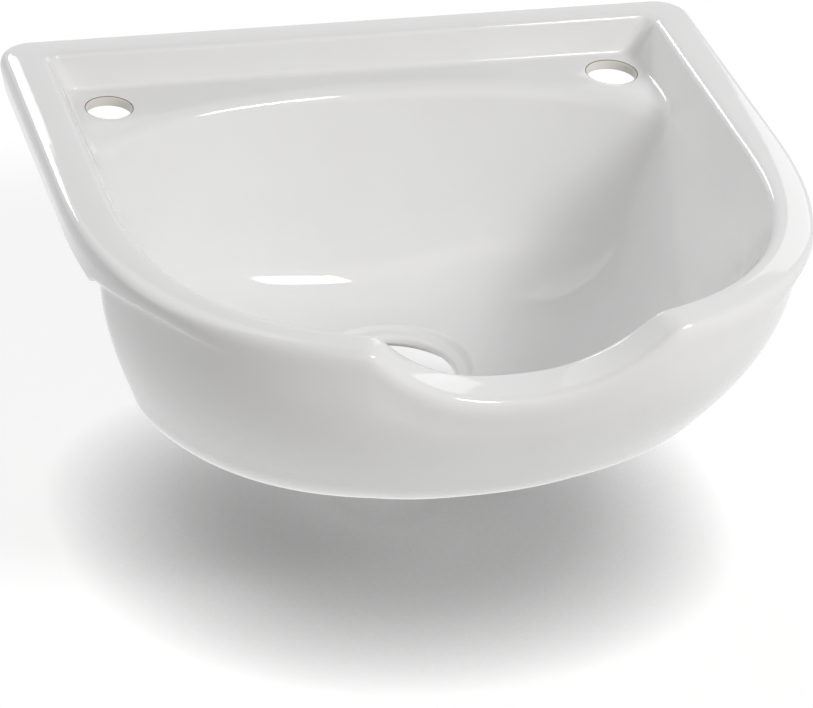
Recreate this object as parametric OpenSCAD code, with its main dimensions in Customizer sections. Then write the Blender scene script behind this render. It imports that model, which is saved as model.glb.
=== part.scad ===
// Backwash shampoo basin: one glazed china casting, held by a tilting steel bracket.
// X runs to the right of the person who washes, Y to the wall, Z up.
// The origin is the middle of the wall bracket's back face, where the basin is fixed.

/* [Outline] */
// Width of the basin over the rim
basin_w = 505; // [460:5:540]
// Depth of the basin from its back edge to the front of the rim
basin_d = 454; // [430:2:480]
// Depth of the straight sides, from the back edge
side_d = 200; // [180:5:220]
// Fullness of the round front at the outer edge, 2 is an ellipse
outer_power = 2.55; // [2.2:0.05:3]
// Fullness of the round front at the rim's inner edge
inner_power = 2.75; // [2.3:0.05:3.2]
// Radius of the two back corners, outside
corner_r = 22; // [14:1:34]

/* [Rim] */
// Width of the rim's top at the sides
rim_w = 31.5; // [26:0.5:38]
// Width of the rim's top at the back
back_rim_w = 29; // [24:0.5:36]
// How much narrower the rim is at the front
rim_taper = 7.5; // [0:0.5:12]
// Fall of the rim's crowned top to its outer edge
rim_crown = 3; // [1:0.5:5]
// Radius of the two back corners at the rim's inner edge
inner_corner_r = 10; // [6:1:16]
// Rounding of the rim's outer edge
roll_r = 13; // [8:1:16]
// Rounding of the rim's inner edge
rim_edge_r = 5; // [3:0.5:8]
// Draft of the flange's outer face, in at the bottom
flange_draft = 7; // [3:0.5:9]
// Height below the rim at which the flange runs out, near the front
flange_end = 11; // [8:1:16]

/* [Tap ledge] */
// Drop from the rim's top to the ledge
ledge_drop = 28; // [22:1:34]
// Thickness of the ledge
ledge_t = 7.5; // [6:0.5:10]
// How far the side walls come in by the ledge's depth
wall_lean = 13.5; // [9:0.5:18]
// How far the upstand comes in by the ledge's depth
upstand_lean = 3.5; // [2:0.5:6]
// Distance from the back edge to the lip, at the middle
lip_setback = 58.5; // [54:0.5:64]
// Half width of the lip's arc
lip_half_w = 215; // [205:1:225]
// Depth of the lip's arc
lip_bow = 90; // [75:1:105]
// Rounding of the lip
lip_r = 12; // [8:1:16]
// Rounding of the foot of the upstand and side walls
foot_r = 5; // [3:0.5:8]

/* [Bowl] */
// Depth of the bowl below the rim at the drain
bowl_depth = 183; // [165:1:200]
// Distance from the back edge to the drain
drain_setback = 178; // [165:1:195]
// Half width of the bowl's floor
floor_half_w = 172; // [160:1:178]
// Distance from the back edge to the back of the floor
floor_back = 80; // [76:1:90]
// Distance from the back edge to the front of the floor
floor_front = 340; // [320:5:350]
// Rise of the floor from the drain to its sides
side_rise = 8; // [4:1:14]
// Rise of the floor from the drain to its front
front_rise = 5; // [3:1:12]
// Thickness of the wall under the lip
wall_t = 11; // [9:0.5:14]
// Thickness of the floor at the drain
floor_t = 14; // [12:0.5:20]

/* [Belly] */
// Half width of the underside
belly_half_w = 195.5; // [188:0.5:200]
// Distance from the back edge to the front of the underside
belly_front = 348; // [340:1:365]
// Fullness of the underside's plan
belly_power = 2.45; // [2.2:0.05:3.4]
// Height of the belly's shoulder below the rim
shoulder_drop = 73; // [62:1:82]
// How far the shoulder stands in from the outline
shoulder_in = 16.5; // [12:0.5:20]
// How far the crease under the flange stands in from the outline
crease_in = 12.5; // [10:0.5:16]

/* [Neck rest] */
// Half width of the neck rest at rim height
neck_half_w = 91.5; // [80:0.5:105]
// Depth of the neck rest at the rim's inner edge
neck_depth = 43; // [34:1:52]
// Depth of the neck rest at the rim's outer edge
neck_front_depth = 46; // [36:1:54]
// How far the inner edge is drawn in at the neck rest
neck_in = 17; // [8:1:26]
// Fullness of the neck rest's curve
neck_power = 2.5; // [1.8:0.1:3]
// Rounding of the outer edge in the neck rest
neck_roll_r = 18; // [13:1:22]

/* [Holes] */
// Distance between the tap hole and the hose hole
tap_gap = 364; // [350:1:368]
// Distance from the back edge to the two holes
tap_setback = 60; // [56:1:64]
// Diameter of the tap hole, on the right
tap_hole_d = 35; // [32:0.5:36]
// Diameter of the hose hole, on the left
hose_hole_d = 31; // [28:0.5:35]
// Diameter of the drain hole
drain_d = 84; // [70:1:90]
// Diameter of the recess round the drain
recess_d = 106; // [100:1:112]
// Depth of the recess round the drain
recess_depth = 2; // [1.5:0.5:3]
// Diameter of the flat foot ring under the drain
land_d = 124; // [118:1:140]
// Height of the foot ring
land_h = 2; // [1:0.5:6]
// Diameter of the hollow inside the foot ring
hollow_d = 104; // [98:1:108]
// Thickness of the floor that is left round the drain hole
drain_t = 6; // [5:0.5:8]

/* [Fixing lugs] */
// Distance between the two lugs' centres
lug_gap = 92; // [84:1:96]
// Width of a lug
lug_w = 38; // [32:1:40]
// Length of a lug from front to back
lug_len = 42; // [40:1:44]
// Height of a lug below the ledge
lug_h = 32; // [28:1:38]
// Distance from the back edge to a lug
lug_setback = 8; // [5:1:10]
// Distance between the two bolts of a lug
bolt_gap = 22; // [20:1:23]
// Diameter of a carrier bolt
bolt_d = 8; // [6:1:8]
// Outside diameter of a threaded sleeve
sleeve_d = 15; // [13:0.5:16]
// Length of a threaded sleeve
sleeve_len = 24; // [20:1:25]
// Thickness of the rubber pad under a lug
pad_t = 3; // [2:0.5:5]

/* [Tilting bracket] */
// Thickness of the carrier's steel
carrier_t = 4; // [3:0.5:5]
// Thickness of the wall bracket's steel
bracket_t = 5; // [4:0.5:6]
// Outside width of the wall bracket
bracket_w = 124; // [120:1:126]
// Height of the wall bracket
bracket_h = 130; // [110:5:150]
// Gap between the basin's back edge and the wall
wall_gap = 12; // [10:0.5:18]
// Height from the carrier plate's underside to the pivot
pivot_drop = 34; // [33:0.5:40]
// Distance from the back edge to the pivot
pivot_setback = 28; // [26:0.5:30]
// Distance from the pivot up to the top of the wall bracket
bracket_rise = 40; // [38:1:50]
// Radius of the bracket's ears round the pivot
ear_r = 18; // [16:0.5:19]
// Radius of the carrier's cheeks round the pivot
cheek_r = 19; // [17:0.5:22]
// Inside radius of the bends
bend_r = 4; // [3:0.5:5]
// Distance between the wall screws, across
screw_gap_x = 76; // [60:1:80]
// Distance between the wall screws, up
screw_gap_z = 90; // [76:1:94]
// Diameter of the wall screws' holes
screw_hole_d = 10.5; // [8:0.5:11]

/* [Pivot] */
// Diameter of a pivot bolt
pivot_d = 12; // [10:1:12]
// Outside diameter of a bush
bush_d = 16; // [15:0.5:18]
// Diameter of a bush's flange
bush_flange_d = 24; // [22:1:28]
// Thickness of a bush's flange
bush_flange_t = 2; // [1.5:0.5:3]
// Diameter of a friction disc
disc_d = 34; // [30:1:36]
// Thickness of a friction disc
disc_t = 3; // [2:0.5:4]
// Diameter of the pivot washers
washer_d = 24; // [22:1:28]
// Thickness of the pivot washers
washer_t = 2.5; // [2:0.5:3]
// Outside diameter of a spring washer
spring_d = 23; // [21:1:26]
// Thickness of a spring washer
spring_t = 1.2; // [0.8:0.1:1.5]
// Free cone height of a spring washer
spring_cone = 0.8; // [0.5:0.1:1]
// Width across the flats of the pivot bolt and nut
pivot_flats = 19; // [17:0.5:21]
// Height of the pivot bolt's head
pivot_head_h = 7.5; // [6:0.5:8]
// Height of the lock nut
nut_h = 10; // [8:0.5:12]
// Length of the collar on the lock nut
collar_h = 3; // [2:0.5:4]

/* [Tilt stop] */
// How far the basin tilts forward, in degrees
tilt_max = 20; // [10:1:24]
// Radius from the pivot to the stop pin
stop_r = 24; // [23:0.5:25]
// Diameter of a stop pin
stop_d = 8; // [6:0.5:8]
// Diameter of a stop pin's head
stop_head_d = 12; // [10:0.5:14]
// Height of a stop pin's head
stop_head_h = 3; // [2:0.5:4]

/* [Clearances] */
// Play of a threaded or pressed piece in its hole, on the radius
set_gap = 0.05; // [0.03:0.01:0.08]
// Play of a bolt in a plain hole, on the radius
hole_gap = 0.5; // [0.3:0.1:0.8]
// Play of the stop pin in its slot, on the radius
slot_gap = 0.3; // [0.2:0.1:0.6]

/* [Hidden] */
$fn = 64;
hex = 6;

// Columns of the casting's surface in each stretch of half the plan
back_cols = 7;
corner_cols = 4;
side_cols = 10;
front_cols = 24;
// Where the belly comes out to meet the flange, where the flange starts to taper and where it has
// run out, and where the crease melts into the belly, along Y
belly_from = -205;
belly_to = -295;
taper_from = -276;
taper_to = -410;
taper_power = 0.6;
melt_from = -340;
melt_to = -420;
// Fullness of the floor's plan behind and before the drain
floor_back_power = 2.7;
floor_front_power = 2.3;
// Rise of the underside from the land to its sides and front
belly_side_rise = 6.5;
belly_front_rise = 0.5;
belly_back = floor_back - wall_t - 1;
// Softness of the ends of the neck rest, and how far the shoulder follows it down the belly
neck_soft = 0.1;
shoulder_follow = 0.15;
// How far the crease goes below the flange's foot
crease_drop = 2.5;
// Rounding of the crease where the flange has run out
crease_r = 14;
// Place of the crown's corner across the rim
crown_at = 0.41;
// Drop of the lip's row below the ledge where there is no ledge, and width over which it starts
lip_drop = 8;
ledge_fade = 30;
lip_blend = 5;

// Heights, below the rim, which is at 0 until the whole is placed
flange_h = ledge_drop + ledge_t;
ledge_z = -ledge_drop;
under_z = -ledge_drop - ledge_t;
lug_z = under_z - lug_h;
plate_z = lug_z - pad_t;
plate_under_z = plate_z - carrier_t;
pivot_z = plate_under_z - pivot_drop;
bracket_top_z = pivot_z + bracket_rise;
bracket_mid_z = bracket_top_z - bracket_h/2;
bottom_z = -bowl_depth - floor_t;
floor_z = -bowl_depth;

// Places along X of the pivot's stack, from the ear outwards and inwards
ear_x = bracket_w/2;
cheek_x = ear_x + disc_t;
cheek_out_x = cheek_x + carrier_t;
springs_x = cheek_out_x + washer_t;
spring_h = spring_t + spring_cone;
nut_x = springs_x + 2*spring_h;
bolt_end_x = nut_x + nut_h + 2.5;
flange_x = ear_x - bracket_t;
head_washer_x = flange_x - bush_flange_t;
head_x = head_washer_x - washer_t;

// Carrier bolts
bolt_head_h = 5.3;
bolt_flats = 13;
bolt_washer_d = 16;
bolt_washer_t = 1.6;
bolt_reach = sleeve_len - 4;
lug_mid_y = -lug_setback - lug_len/2;
carrier_back_y = -lug_setback + 4;
carrier_front_y = -lug_setback - lug_len;
// Angle from the pivot to the stop pin at rest, so that the slot lies evenly about the level
stop_angle = -tilt_max/2;
stop_boss_r = stop_d/2 + 5;

function smooth(a, b, x) = let (t = min(max((x - a)/(b - a), 0), 1)) t*t*(3 - 2*t);
function mix(a, b, t) = a + (b - a)*t;
function at(p, z) = [p[0], p[1], z];

// A column is [stretch, share]: 0 back edge, 1 corner, 2 straight side, 3 round front
half_cols = concat(
    [for (k = [0:back_cols - 1]) [0, k/back_cols]],
    [for (k = [0:corner_cols - 1]) [1, k/corner_cols]],
    [for (k = [0:side_cols - 1]) [2, k/side_cols]],
    [for (k = [0:front_cols]) [3, k/front_cols]]);

// The round front as a superellipse of half width a and depth b, at an angle from the side
function front_point(a, b, power, angle) =
    let (s = pow(pow(abs(cos(angle))/a, power) + pow(sin(angle)/b, power), -1/power))
    [angle < 90 ? s*cos(angle) : 0, -side_d - s*sin(angle)];

// One point of the D shaped plan, inset from the outline
function d_ring(inset, back, r, c) =
    let (a = basin_w/2 - inset,
         power = mix(outer_power, inner_power, min(inset/rim_w, 1)))
    c[0] == 0 ? [(a - r)*c[1], -back] :
    c[0] == 1 ? [a - r + r*sin(90*c[1]), -back - r + r*cos(90*c[1])] :
    c[0] == 2 ? [a, mix(-back - r, -side_d, c[1])] :
    front_point(a, basin_d - side_d - inset + rim_taper*min(inset/rim_w, 1), power, 90*c[1]);

// The point of an oval about the drain on the ray through p
function oval(p, a, back, front, back_power, front_power) =
    let (d = p + [0, drain_setback],
         b = d[1] > 0 ? back : front,
         n = d[1] > 0 ? back_power : front_power,
         s = pow(pow(abs(d[0])/a, n) + pow(abs(d[1])/b, n), -1/n))
    [0, -drain_setback] + d*s;

// Distance from the drain's axis to the lip's arc along the direction d
function lip_reach(d) =
    let (yc = -lip_setback - lip_bow,
         o = -drain_setback - yc,
         qa = pow(d[0]/lip_half_w, 2) + pow(d[1]/lip_bow, 2),
         qb = 2*o*d[1]/pow(lip_bow, 2),
         qc = pow(o/lip_bow, 2) - 1,
         t = (sqrt(max(qb*qb - 4*qa*qc, 0)) - qb)/(2*qa))
    o + t*d[1] > 0 ? t : 1000;

// Height of a row above its level at the drain, by direction
function rise(d, side, front) =
    let (f = pow(max(-d[1], 0), 2), b = pow(max(d[1], 0), 2))
    front*f + side*(1 - f - b);

// How deep the neck rest is at a column, from 0 to 1
function neck(c, x) =
    let (g = 1 - pow(abs(x)/neck_half_w, neck_power))
    c[0] < 3 ? 0 : (g + sqrt(g*g + neck_soft*neck_soft))/2;

// The corners of one column's section, from the bowl's floor over the rim to the underside
function section(c) =
    let (outline = d_ring(0, 0, corner_r, c),
         y = outline[1],
         belly = smooth(belly_from, belly_to, y),
         taper = pow(min(max((y - taper_from)/(taper_to - taper_from), 0), 1), taper_power),
         melt = smooth(melt_from, melt_to, y),
         inner = d_ring(rim_w, back_rim_w, inner_corner_r, c),
         foot = d_ring(rim_w + wall_lean, back_rim_w + upstand_lean, inner_corner_r, c),
         wall = d_ring(rim_w + wall_lean + lip_drop/2, back_rim_w + upstand_lean + 1, inner_corner_r, c),
         ray = wall + [0, drain_setback],
         reach = norm(ray),
         d = ray/reach,
         arc = lip_reach(d),
         h = min(max(0.5 + (arc - reach)/(2*lip_blend), 0), 1),
         lip_at = mix(arc, reach, h) - lip_blend*h*(1 - h),
         lip = [0, -drain_setback] + d*lip_at,
         drop = lip_drop*(1 - smooth(0, ledge_fade, norm(foot - lip))),
         floor_edge = oval(wall, floor_half_w, drain_setback - floor_back, floor_front - drain_setback,
                           floor_back_power, floor_front_power),
         base = at(oval(wall, belly_half_w, drain_setback - belly_back, belly_front - drain_setback,
                        floor_back_power, belly_power),
                   bottom_z + rise(d, belly_side_rise, belly_front_rise)),
         g = neck(c, inner[0]),
         zi = -neck_depth*g,
         pull = [0, neck_in*g],
         outside = [0, -drain_setback] + d*(lip_at + wall_t),
         side = at(mix(mix(outside, [base[0], base[1]], 0.2), d_ring(shoulder_in, 1.5, corner_r - 2, c), belly),
                   -shoulder_drop),
         shoulder = mix(side, base, shoulder_follow*g),
         edge = at(outline, -rim_crown),
         outer = mix(edge, side, g*(neck_front_depth - rim_crown)/(shoulder_drop - rim_crown)),
         rim_in = at(inner + pull, zi),
         crease_z = mix(under_z - crease_drop*belly, -flange_end, taper),
         flange = at(d_ring(mix(flange_draft, 1, taper), 1.5, corner_r - 2, c),
                     mix(under_z, -flange_end/2, taper)),
         crease = at(mix(outside, d_ring(mix(crease_in, crease_in*0.65, taper), 1.5, corner_r - 2, c), belly),
                     crease_z))
    [[0, -drain_setback, floor_z],
     at(floor_edge, floor_z + rise(d, side_rise, front_rise)),
     at(lip + pull*0.7, ledge_z - drop + zi*0.8),
     at(foot + pull*0.8, ledge_z + zi*0.9),
     rim_in,
     mix(rim_in, outer, crown_at) + [0, 0, rim_crown*crown_at],
     outer,
     mix(flange, mix(outer, shoulder, mix(0.22, 0.5, g)), melt),
     mix(crease, mix(outer, shoulder, mix(0.3, 0.55, g)), melt),
     shoulder,
     base,
     [0, -drain_setback, bottom_z]];

// Share of the edge from p to q that a rounding of size r takes up
function share(r, p, q, most) = min(r/norm(q - p), most);

// A corner rounded by a parabola of m steps
function rounded(a, p, b, sa, sb, m) =
    [for (j = [0:m])
        let (t = j/m)
        pow(1 - t, 2)*mix(p, a, sa) + 2*t*(1 - t)*p + t*t*mix(p, b, sb)];

// Rounding of each corner of the section, as a size or as a share, and its steps
roundings = [0, 0.45, lip_r, foot_r, rim_edge_r, 0.48, roll_r, rim_edge_r, rim_edge_r, 0.75, 0.48];
steps = [0, 6, 3, 2, 2, 2, 4, 2, 3, 4, 4];

function column(c) =
    let (v = section(c),
         g = neck(c, v[4][0]),
         y = d_ring(0, 0, corner_r, c)[1],
         taper = smooth(taper_from, taper_to, y),
         melt = smooth(melt_from, melt_to, y))
    [for (k = [1:10])
        let (r = k == 6 ? mix(roll_r, neck_roll_r, g) :
                 k == 8 ? mix(rim_edge_r, crease_r, taper) : roundings[k],
             sa = k == 1 ? share(floor_grip(v), v[1], v[0], 0.7) :
                  r < 1 ? r : share(r, v[k], v[k - 1], k == 7 ? mix(0.36, 0.08, melt) : 0.48),
             sb = k == 9 ? 0.4 :
                  r < 1 ? r : share(r, v[k], v[k + 1], k == 6 ? mix(0.62, 0.9, melt) : k == 8 ? 0.24 : 0.48))
        each rounded(v[k - 1], v[k], v[k + 1], sa, sb, steps[k])];

// The floor stays flat out to the recess
function floor_grip(v) = max(norm(v[1] - v[0]) - recess_d/2 - 3, 6);

half_surface = [for (c = half_cols) column(c)];
half_n = len(half_surface);
surface_cols = concat(half_surface,
    [for (k = [half_n - 2:-1:1]) [for (p = half_surface[k]) [-p[0], p[1], p[2]]]]);
col_n = len(surface_cols);
row_n = len(surface_cols[0]);

module shell() {
    points = concat([for (c = surface_cols) each c],
                    [[0, -drain_setback, floor_z], [0, -drain_setback, bottom_z]]);
    top = col_n*row_n;
    faces = concat(
        [for (i = [0:col_n - 1], r = [0:row_n - 2])
            let (j = (i + 1) % col_n)
            [i*row_n + r, i*row_n + r + 1, j*row_n + r + 1]],
        [for (i = [0:col_n - 1], r = [0:row_n - 2])
            let (j = (i + 1) % col_n)
            [i*row_n + r, j*row_n + r + 1, j*row_n + r]],
        [for (i = [0:col_n - 1]) [top, i*row_n, ((i + 1) % col_n)*row_n]],
        [for (i = [0:col_n - 1]) [top + 1, ((i + 1) % col_n)*row_n + row_n - 1, i*row_n + row_n - 1]]);
    polyhedron(points, faces);
}

// Moves the whole from the rim's height to the wall bracket's middle
module placed() {
    translate([0, -wall_gap, -bracket_mid_z]) children();
}

// A round bar along X from x0 to x1, on the right and mirrored for the left
module bar_x(d, x0, x1) {
    translate([x0, 0, 0]) rotate([0, 90, 0]) cylinder(d = d, h = x1 - x0);
}

module at_pivot() {
    placed() translate([0, -pivot_setback, pivot_z]) children();
}

module at_lugs() {
    for (s = [-1, 1]) translate([s*lug_gap/2, lug_mid_y, 0]) children();
}

module at_lug_bolts() {
    at_lugs() for (t = [-1, 1]) translate([0, t*bolt_gap/2, 0]) children();
}

module basin_body() {
    color("white") placed() difference() {
        union() {
            shell();
            at_lugs() translate([-lug_w/2, -lug_len/2, lug_z]) cube([lug_w, lug_len, lug_h + ledge_t/2]);
            translate([0, -drain_setback, bottom_z - land_h]) cylinder(d = land_d, h = land_h + floor_t/2);
        }
        translate([0, -drain_setback, bottom_z - land_h - 1])
            cylinder(d = drain_d, h = land_h + floor_t + 3);
        translate([0, -drain_setback, floor_z - recess_depth]) cylinder(d = recess_d, h = recess_depth + 3);
        translate([0, -drain_setback, bottom_z - land_h - 1])
            cylinder(d = hollow_d, h = floor_z - recess_depth - drain_t - bottom_z + land_h + 1);
        translate([tap_gap/2, -tap_setback, under_z - 2]) cylinder(d = tap_hole_d, h = ledge_t + 4);
        translate([-tap_gap/2, -tap_setback, under_z - 2]) cylinder(d = hose_hole_d, h = ledge_t + 4);
        at_lug_bolts() translate([0, 0, lug_z - 1])
            cylinder(r = sleeve_d/2 + set_gap, h = sleeve_len + 1 + set_gap);
    }
}

module lug_sleeves() {
    color("goldenrod") placed() at_lug_bolts() translate([0, 0, lug_z]) difference() {
        cylinder(d = sleeve_d, h = sleeve_len);
        translate([0, 0, -1]) cylinder(r = bolt_d/2 + set_gap, h = sleeve_len - 1);
    }
}

module lug_pads() {
    color("dimgray") placed() difference() {
        at_lugs() translate([-lug_w/2, -lug_len/2, plate_z]) cube([lug_w, lug_len, pad_t]);
        at_lug_bolts() translate([0, 0, plate_z - 1]) cylinder(r = bolt_d/2 + hole_gap, h = pad_t + 2);
    }
}

// Section of a channel bent from sheet: its web on top, outside corners rounded
module channel(w, h, t) {
    difference() {
        rounded_end(w, h, bend_r + t);
        translate([0, -t]) rounded_end(w - 2*t, h, bend_r);
    }
}

module rounded_end(w, h, r) {
    translate([-w/2, -h]) square([w, h - r]);
    translate([-w/2 + r, -r - 1]) square([w - 2*r, r + 1]);
    for (s = [-1, 1]) translate([s*(w/2 - r), -r]) circle(r);
}

// Side view of the carrier, about the pivot
module carrier_side() {
    top = pivot_drop + carrier_t;
    back = pivot_setback + carrier_back_y;
    front = pivot_setback + carrier_front_y;
    pin = [stop_r*cos(stop_angle), stop_r*sin(stop_angle)];
    polygon([[front, top], [front, pivot_drop - 10], [-cheek_r, 0], [0, -cheek_r],
             pin, pin + [stop_boss_r, 0], [back, pivot_drop], [back, top]]);
    circle(cheek_r);
    translate(pin) circle(stop_boss_r);
}

module tilt_carrier() {
    length = lug_len + 60;
    color("lightsteelblue") at_pivot() difference() {
        intersection() {
            translate([0, length/2, pivot_drop + carrier_t]) rotate([90, 0, 0]) linear_extrude(length)
                channel(2*cheek_out_x, pivot_drop + carrier_t + cheek_r + 5, carrier_t);
            translate([-cheek_out_x - 1, 0, 0]) rotate([90, 0, 90]) linear_extrude(2*cheek_out_x + 2)
                carrier_side();
        }
        bar_x(pivot_d + 2*set_gap, -cheek_out_x - 1, cheek_out_x + 1);
        rotate([stop_angle, 0, 0]) translate([0, stop_r, 0])
            bar_x(stop_d + 2*set_gap, -cheek_out_x - 1, cheek_out_x + 1);
        translate([0, pivot_setback, -pivot_z]) at_lug_bolts() translate([0, 0, plate_under_z - 1])
            cylinder(r = bolt_d/2 + hole_gap, h = carrier_t + 2);
    }
}

module carrier_bolts() {
    color("silver") placed() at_lug_bolts() {
        translate([0, 0, plate_under_z - bolt_washer_t - bolt_head_h])
            cylinder(d = bolt_flats/cos(30), h = bolt_head_h, $fn = hex);
        translate([0, 0, plate_under_z - bolt_washer_t - 1])
            cylinder(d = bolt_d, h = bolt_washer_t + carrier_t + pad_t + bolt_reach + 1);
    }
}

module carrier_washers() {
    color("silver") placed() at_lug_bolts() translate([0, 0, plate_under_z - bolt_washer_t]) difference() {
        cylinder(d = bolt_washer_d, h = bolt_washer_t);
        translate([0, 0, -1]) cylinder(r = bolt_d/2 + set_gap, h = bolt_washer_t + 2);
    }
}

// Side view of the wall bracket, about the pivot, with Y forward as negative
module bracket_side() {
    wall_y = pivot_setback + wall_gap;
    top = bracket_rise;
    foot = bracket_rise - bracket_h;
    root = bend_r + bracket_t;
    translate([wall_y - root, foot]) square([root, bracket_h]);
    polygon([[wall_y - root - 1, top - 12], [0, ear_r], [-ear_r, 0], [0, -ear_r],
             [wall_y - root - 1, -top], [wall_y - root + 1, -top], [wall_y - root + 1, top - 12]]);
    circle(ear_r);
}

// The slot that the stop pin runs in, from rest to full tilt. Its arc is a hair narrower than its
// round ends, so that their walls cross.
module stop_slot() {
    half = stop_d/2 + slot_gap;
    arc_half = half - 0.03;
    far = 2*stop_r;
    a0 = stop_angle;
    a1 = stop_angle + tilt_max;
    intersection() {
        difference() {
            circle(stop_r + arc_half);
            circle(stop_r - arc_half);
        }
        polygon([[0, 0], far*[cos(a0), sin(a0)], far*[cos(a1), sin(a1)]]);
    }
    for (a = [a0, a1]) rotate(a) translate([stop_r, 0]) circle(half);
}

module wall_bracket() {
    wall_y = pivot_setback + wall_gap;
    depth = wall_y + ear_r + 5;
    color("gray") at_pivot() difference() {
        intersection() {
            translate([0, wall_y, bracket_rise - bracket_h]) linear_extrude(bracket_h)
                channel(bracket_w, depth, bracket_t);
            translate([-bracket_w/2 - 1, 0, 0]) rotate([90, 0, 90]) linear_extrude(bracket_w + 2)
                bracket_side();
        }
        bar_x(bush_d + 2*set_gap, -bracket_w, bracket_w);
        translate([-bracket_w, 0, 0]) rotate([90, 0, 90]) linear_extrude(2*bracket_w) stop_slot();
        for (sx = [-1, 1], sz = [-1, 1])
            translate([sx*screw_gap_x/2, wall_y + 1, bracket_rise - bracket_h/2 + sz*screw_gap_z/2])
                rotate([90, 0, 0]) cylinder(d = screw_hole_d, h = bracket_t + 2);
    }
}

module pivot_bush() {
    color("ivory") difference() {
        union() {
            bar_x(bush_d, head_washer_x + 1, ear_x);
            bar_x(bush_flange_d, head_washer_x, flange_x);
        }
        bar_x(pivot_d + 2*set_gap, head_washer_x - 1, ear_x + 1);
    }
}

module pivot_bolt() {
    color("silver") {
        translate([head_x - pivot_head_h, 0, 0]) rotate([0, 90, 0])
            cylinder(d = pivot_flats/cos(30), h = pivot_head_h, $fn = hex);
        bar_x(pivot_d, head_x - 1, bolt_end_x);
    }
}

module washer(d, x0, t) {
    color("silver") difference() {
        bar_x(d, x0, x0 + t);
        bar_x(pivot_d + 2*set_gap, x0 - 1, x0 + t + 1);
    }
}

module friction_disc() {
    color("peru") difference() {
        bar_x(disc_d, ear_x, cheek_x);
        bar_x(pivot_d + 2*set_gap, ear_x - 1, cheek_x + 1);
    }
}

// One coned washer that opens towards +X
module cone_washer() {
    rotate([0, 90, 0]) rotate_extrude() polygon([
        [pivot_d/2 + set_gap, 0], [spring_d/2, spring_cone], [spring_d/2, spring_h],
        [pivot_d/2 + set_gap, spring_t]]);
}

module disc_springs() {
    color("dimgray") {
        translate([springs_x, 0, 0]) cone_washer();
        translate([nut_x, 0, 0]) mirror([1, 0, 0]) cone_washer();
    }
}

module lock_nut() {
    color("silver") difference() {
        union() {
            translate([nut_x, 0, 0]) rotate([0, 90, 0])
                cylinder(d = pivot_flats/cos(30), h = nut_h - collar_h, $fn = hex);
            bar_x(pivot_flats - 2, nut_x + 1, nut_x + nut_h);
        }
        bar_x(pivot_d + 2*set_gap, nut_x - 1, nut_x + nut_h + 1);
    }
}

module stop_pin() {
    color("silver") rotate([stop_angle, 0, 0]) translate([0, stop_r, 0]) {
        bar_x(stop_d, flange_x - 1, cheek_out_x + 1);
        bar_x(stop_head_d, cheek_out_x, cheek_out_x + stop_head_h);
    }
}

module on_left() { at_pivot() mirror([1, 0, 0]) children(); }
module on_right() { at_pivot() children(); }

basin_body();
lug_sleeves();
lug_pads();
tilt_carrier();
carrier_bolts();
carrier_washers();
wall_bracket();
on_left() pivot_bush();  // pivot_bush_left
on_right() pivot_bush();  // pivot_bush_right
on_left() pivot_bolt();  // pivot_bolt_left
on_right() pivot_bolt();  // pivot_bolt_right
on_left() washer(washer_d, head_x, washer_t);  // head_washer_left
on_right() washer(washer_d, head_x, washer_t);  // head_washer_right
on_left() friction_disc();  // friction_disc_left
on_right() friction_disc();  // friction_disc_right
on_left() washer(washer_d, cheek_out_x, washer_t);  // nut_washer_left
on_right() washer(washer_d, cheek_out_x, washer_t);  // nut_washer_right
on_left() disc_springs();  // disc_springs_left
on_right() disc_springs();  // disc_springs_right
on_left() lock_nut();  // lock_nut_left
on_right() lock_nut();  // lock_nut_right
on_left() stop_pin();  // stop_pin_left
on_right() stop_pin();  // stop_pin_right
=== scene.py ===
"""Backwash shampoo basin of glazed china on its tilting steel bracket, dressed for rendering."""

import math

import bmesh
import bpy
from mathutils import Matrix, Vector


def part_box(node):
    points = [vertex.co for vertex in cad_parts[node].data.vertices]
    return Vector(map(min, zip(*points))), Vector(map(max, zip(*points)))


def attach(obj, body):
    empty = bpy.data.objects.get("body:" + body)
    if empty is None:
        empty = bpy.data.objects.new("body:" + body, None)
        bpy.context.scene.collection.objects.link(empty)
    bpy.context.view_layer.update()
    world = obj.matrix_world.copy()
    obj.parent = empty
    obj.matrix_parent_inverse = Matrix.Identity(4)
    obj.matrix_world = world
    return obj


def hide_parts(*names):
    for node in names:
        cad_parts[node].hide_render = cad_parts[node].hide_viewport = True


bl_info = {
    "name": "Backwash Shampoo Basin",
    "version": (1, 0, 0),
    "blender": (4, 5, 0),
    "location": "3D View > Sidebar > Basin",
    "description": "Builds a china backwash basin with its tilting bracket, its glaze and its studio",
    "category": "Add Mesh",
}

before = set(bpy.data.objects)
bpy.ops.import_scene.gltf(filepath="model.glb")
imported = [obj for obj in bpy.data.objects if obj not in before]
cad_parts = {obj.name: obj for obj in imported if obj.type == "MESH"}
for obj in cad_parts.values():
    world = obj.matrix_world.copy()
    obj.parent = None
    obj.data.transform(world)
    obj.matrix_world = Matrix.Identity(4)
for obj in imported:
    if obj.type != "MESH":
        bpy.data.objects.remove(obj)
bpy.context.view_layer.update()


def length(name, description, millimetres):
    """A size in the sidebar, given here in millimetres and kept in metres."""
    return bpy.props.FloatProperty(
        name=name, description=description, default=millimetres / 1000, unit="LENGTH", precision=4
    )


def fullness(name, description, value):
    """The power of a rounded outline, where 2 is an ellipse."""
    return bpy.props.FloatProperty(name=name, description=description, default=value, min=1.5, max=4)


def linear(hex_colour):
    """Turns an sRGB hex colour into the linear one that the shaders take."""
    parts = [int(hex_colour[i : i + 2], 16) / 255 for i in (1, 3, 5)]
    return tuple(p / 12.92 if p <= 0.04045 else ((p + 0.055) / 1.055) ** 2.4 for p in parts)


def colour(name, description, hex_colour):
    """A colour in the sidebar, written as sRGB hex."""
    return bpy.props.FloatVectorProperty(
        name=name, description=description, default=linear(hex_colour), subtype="COLOR", size=3, min=0, max=1
    )


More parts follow.
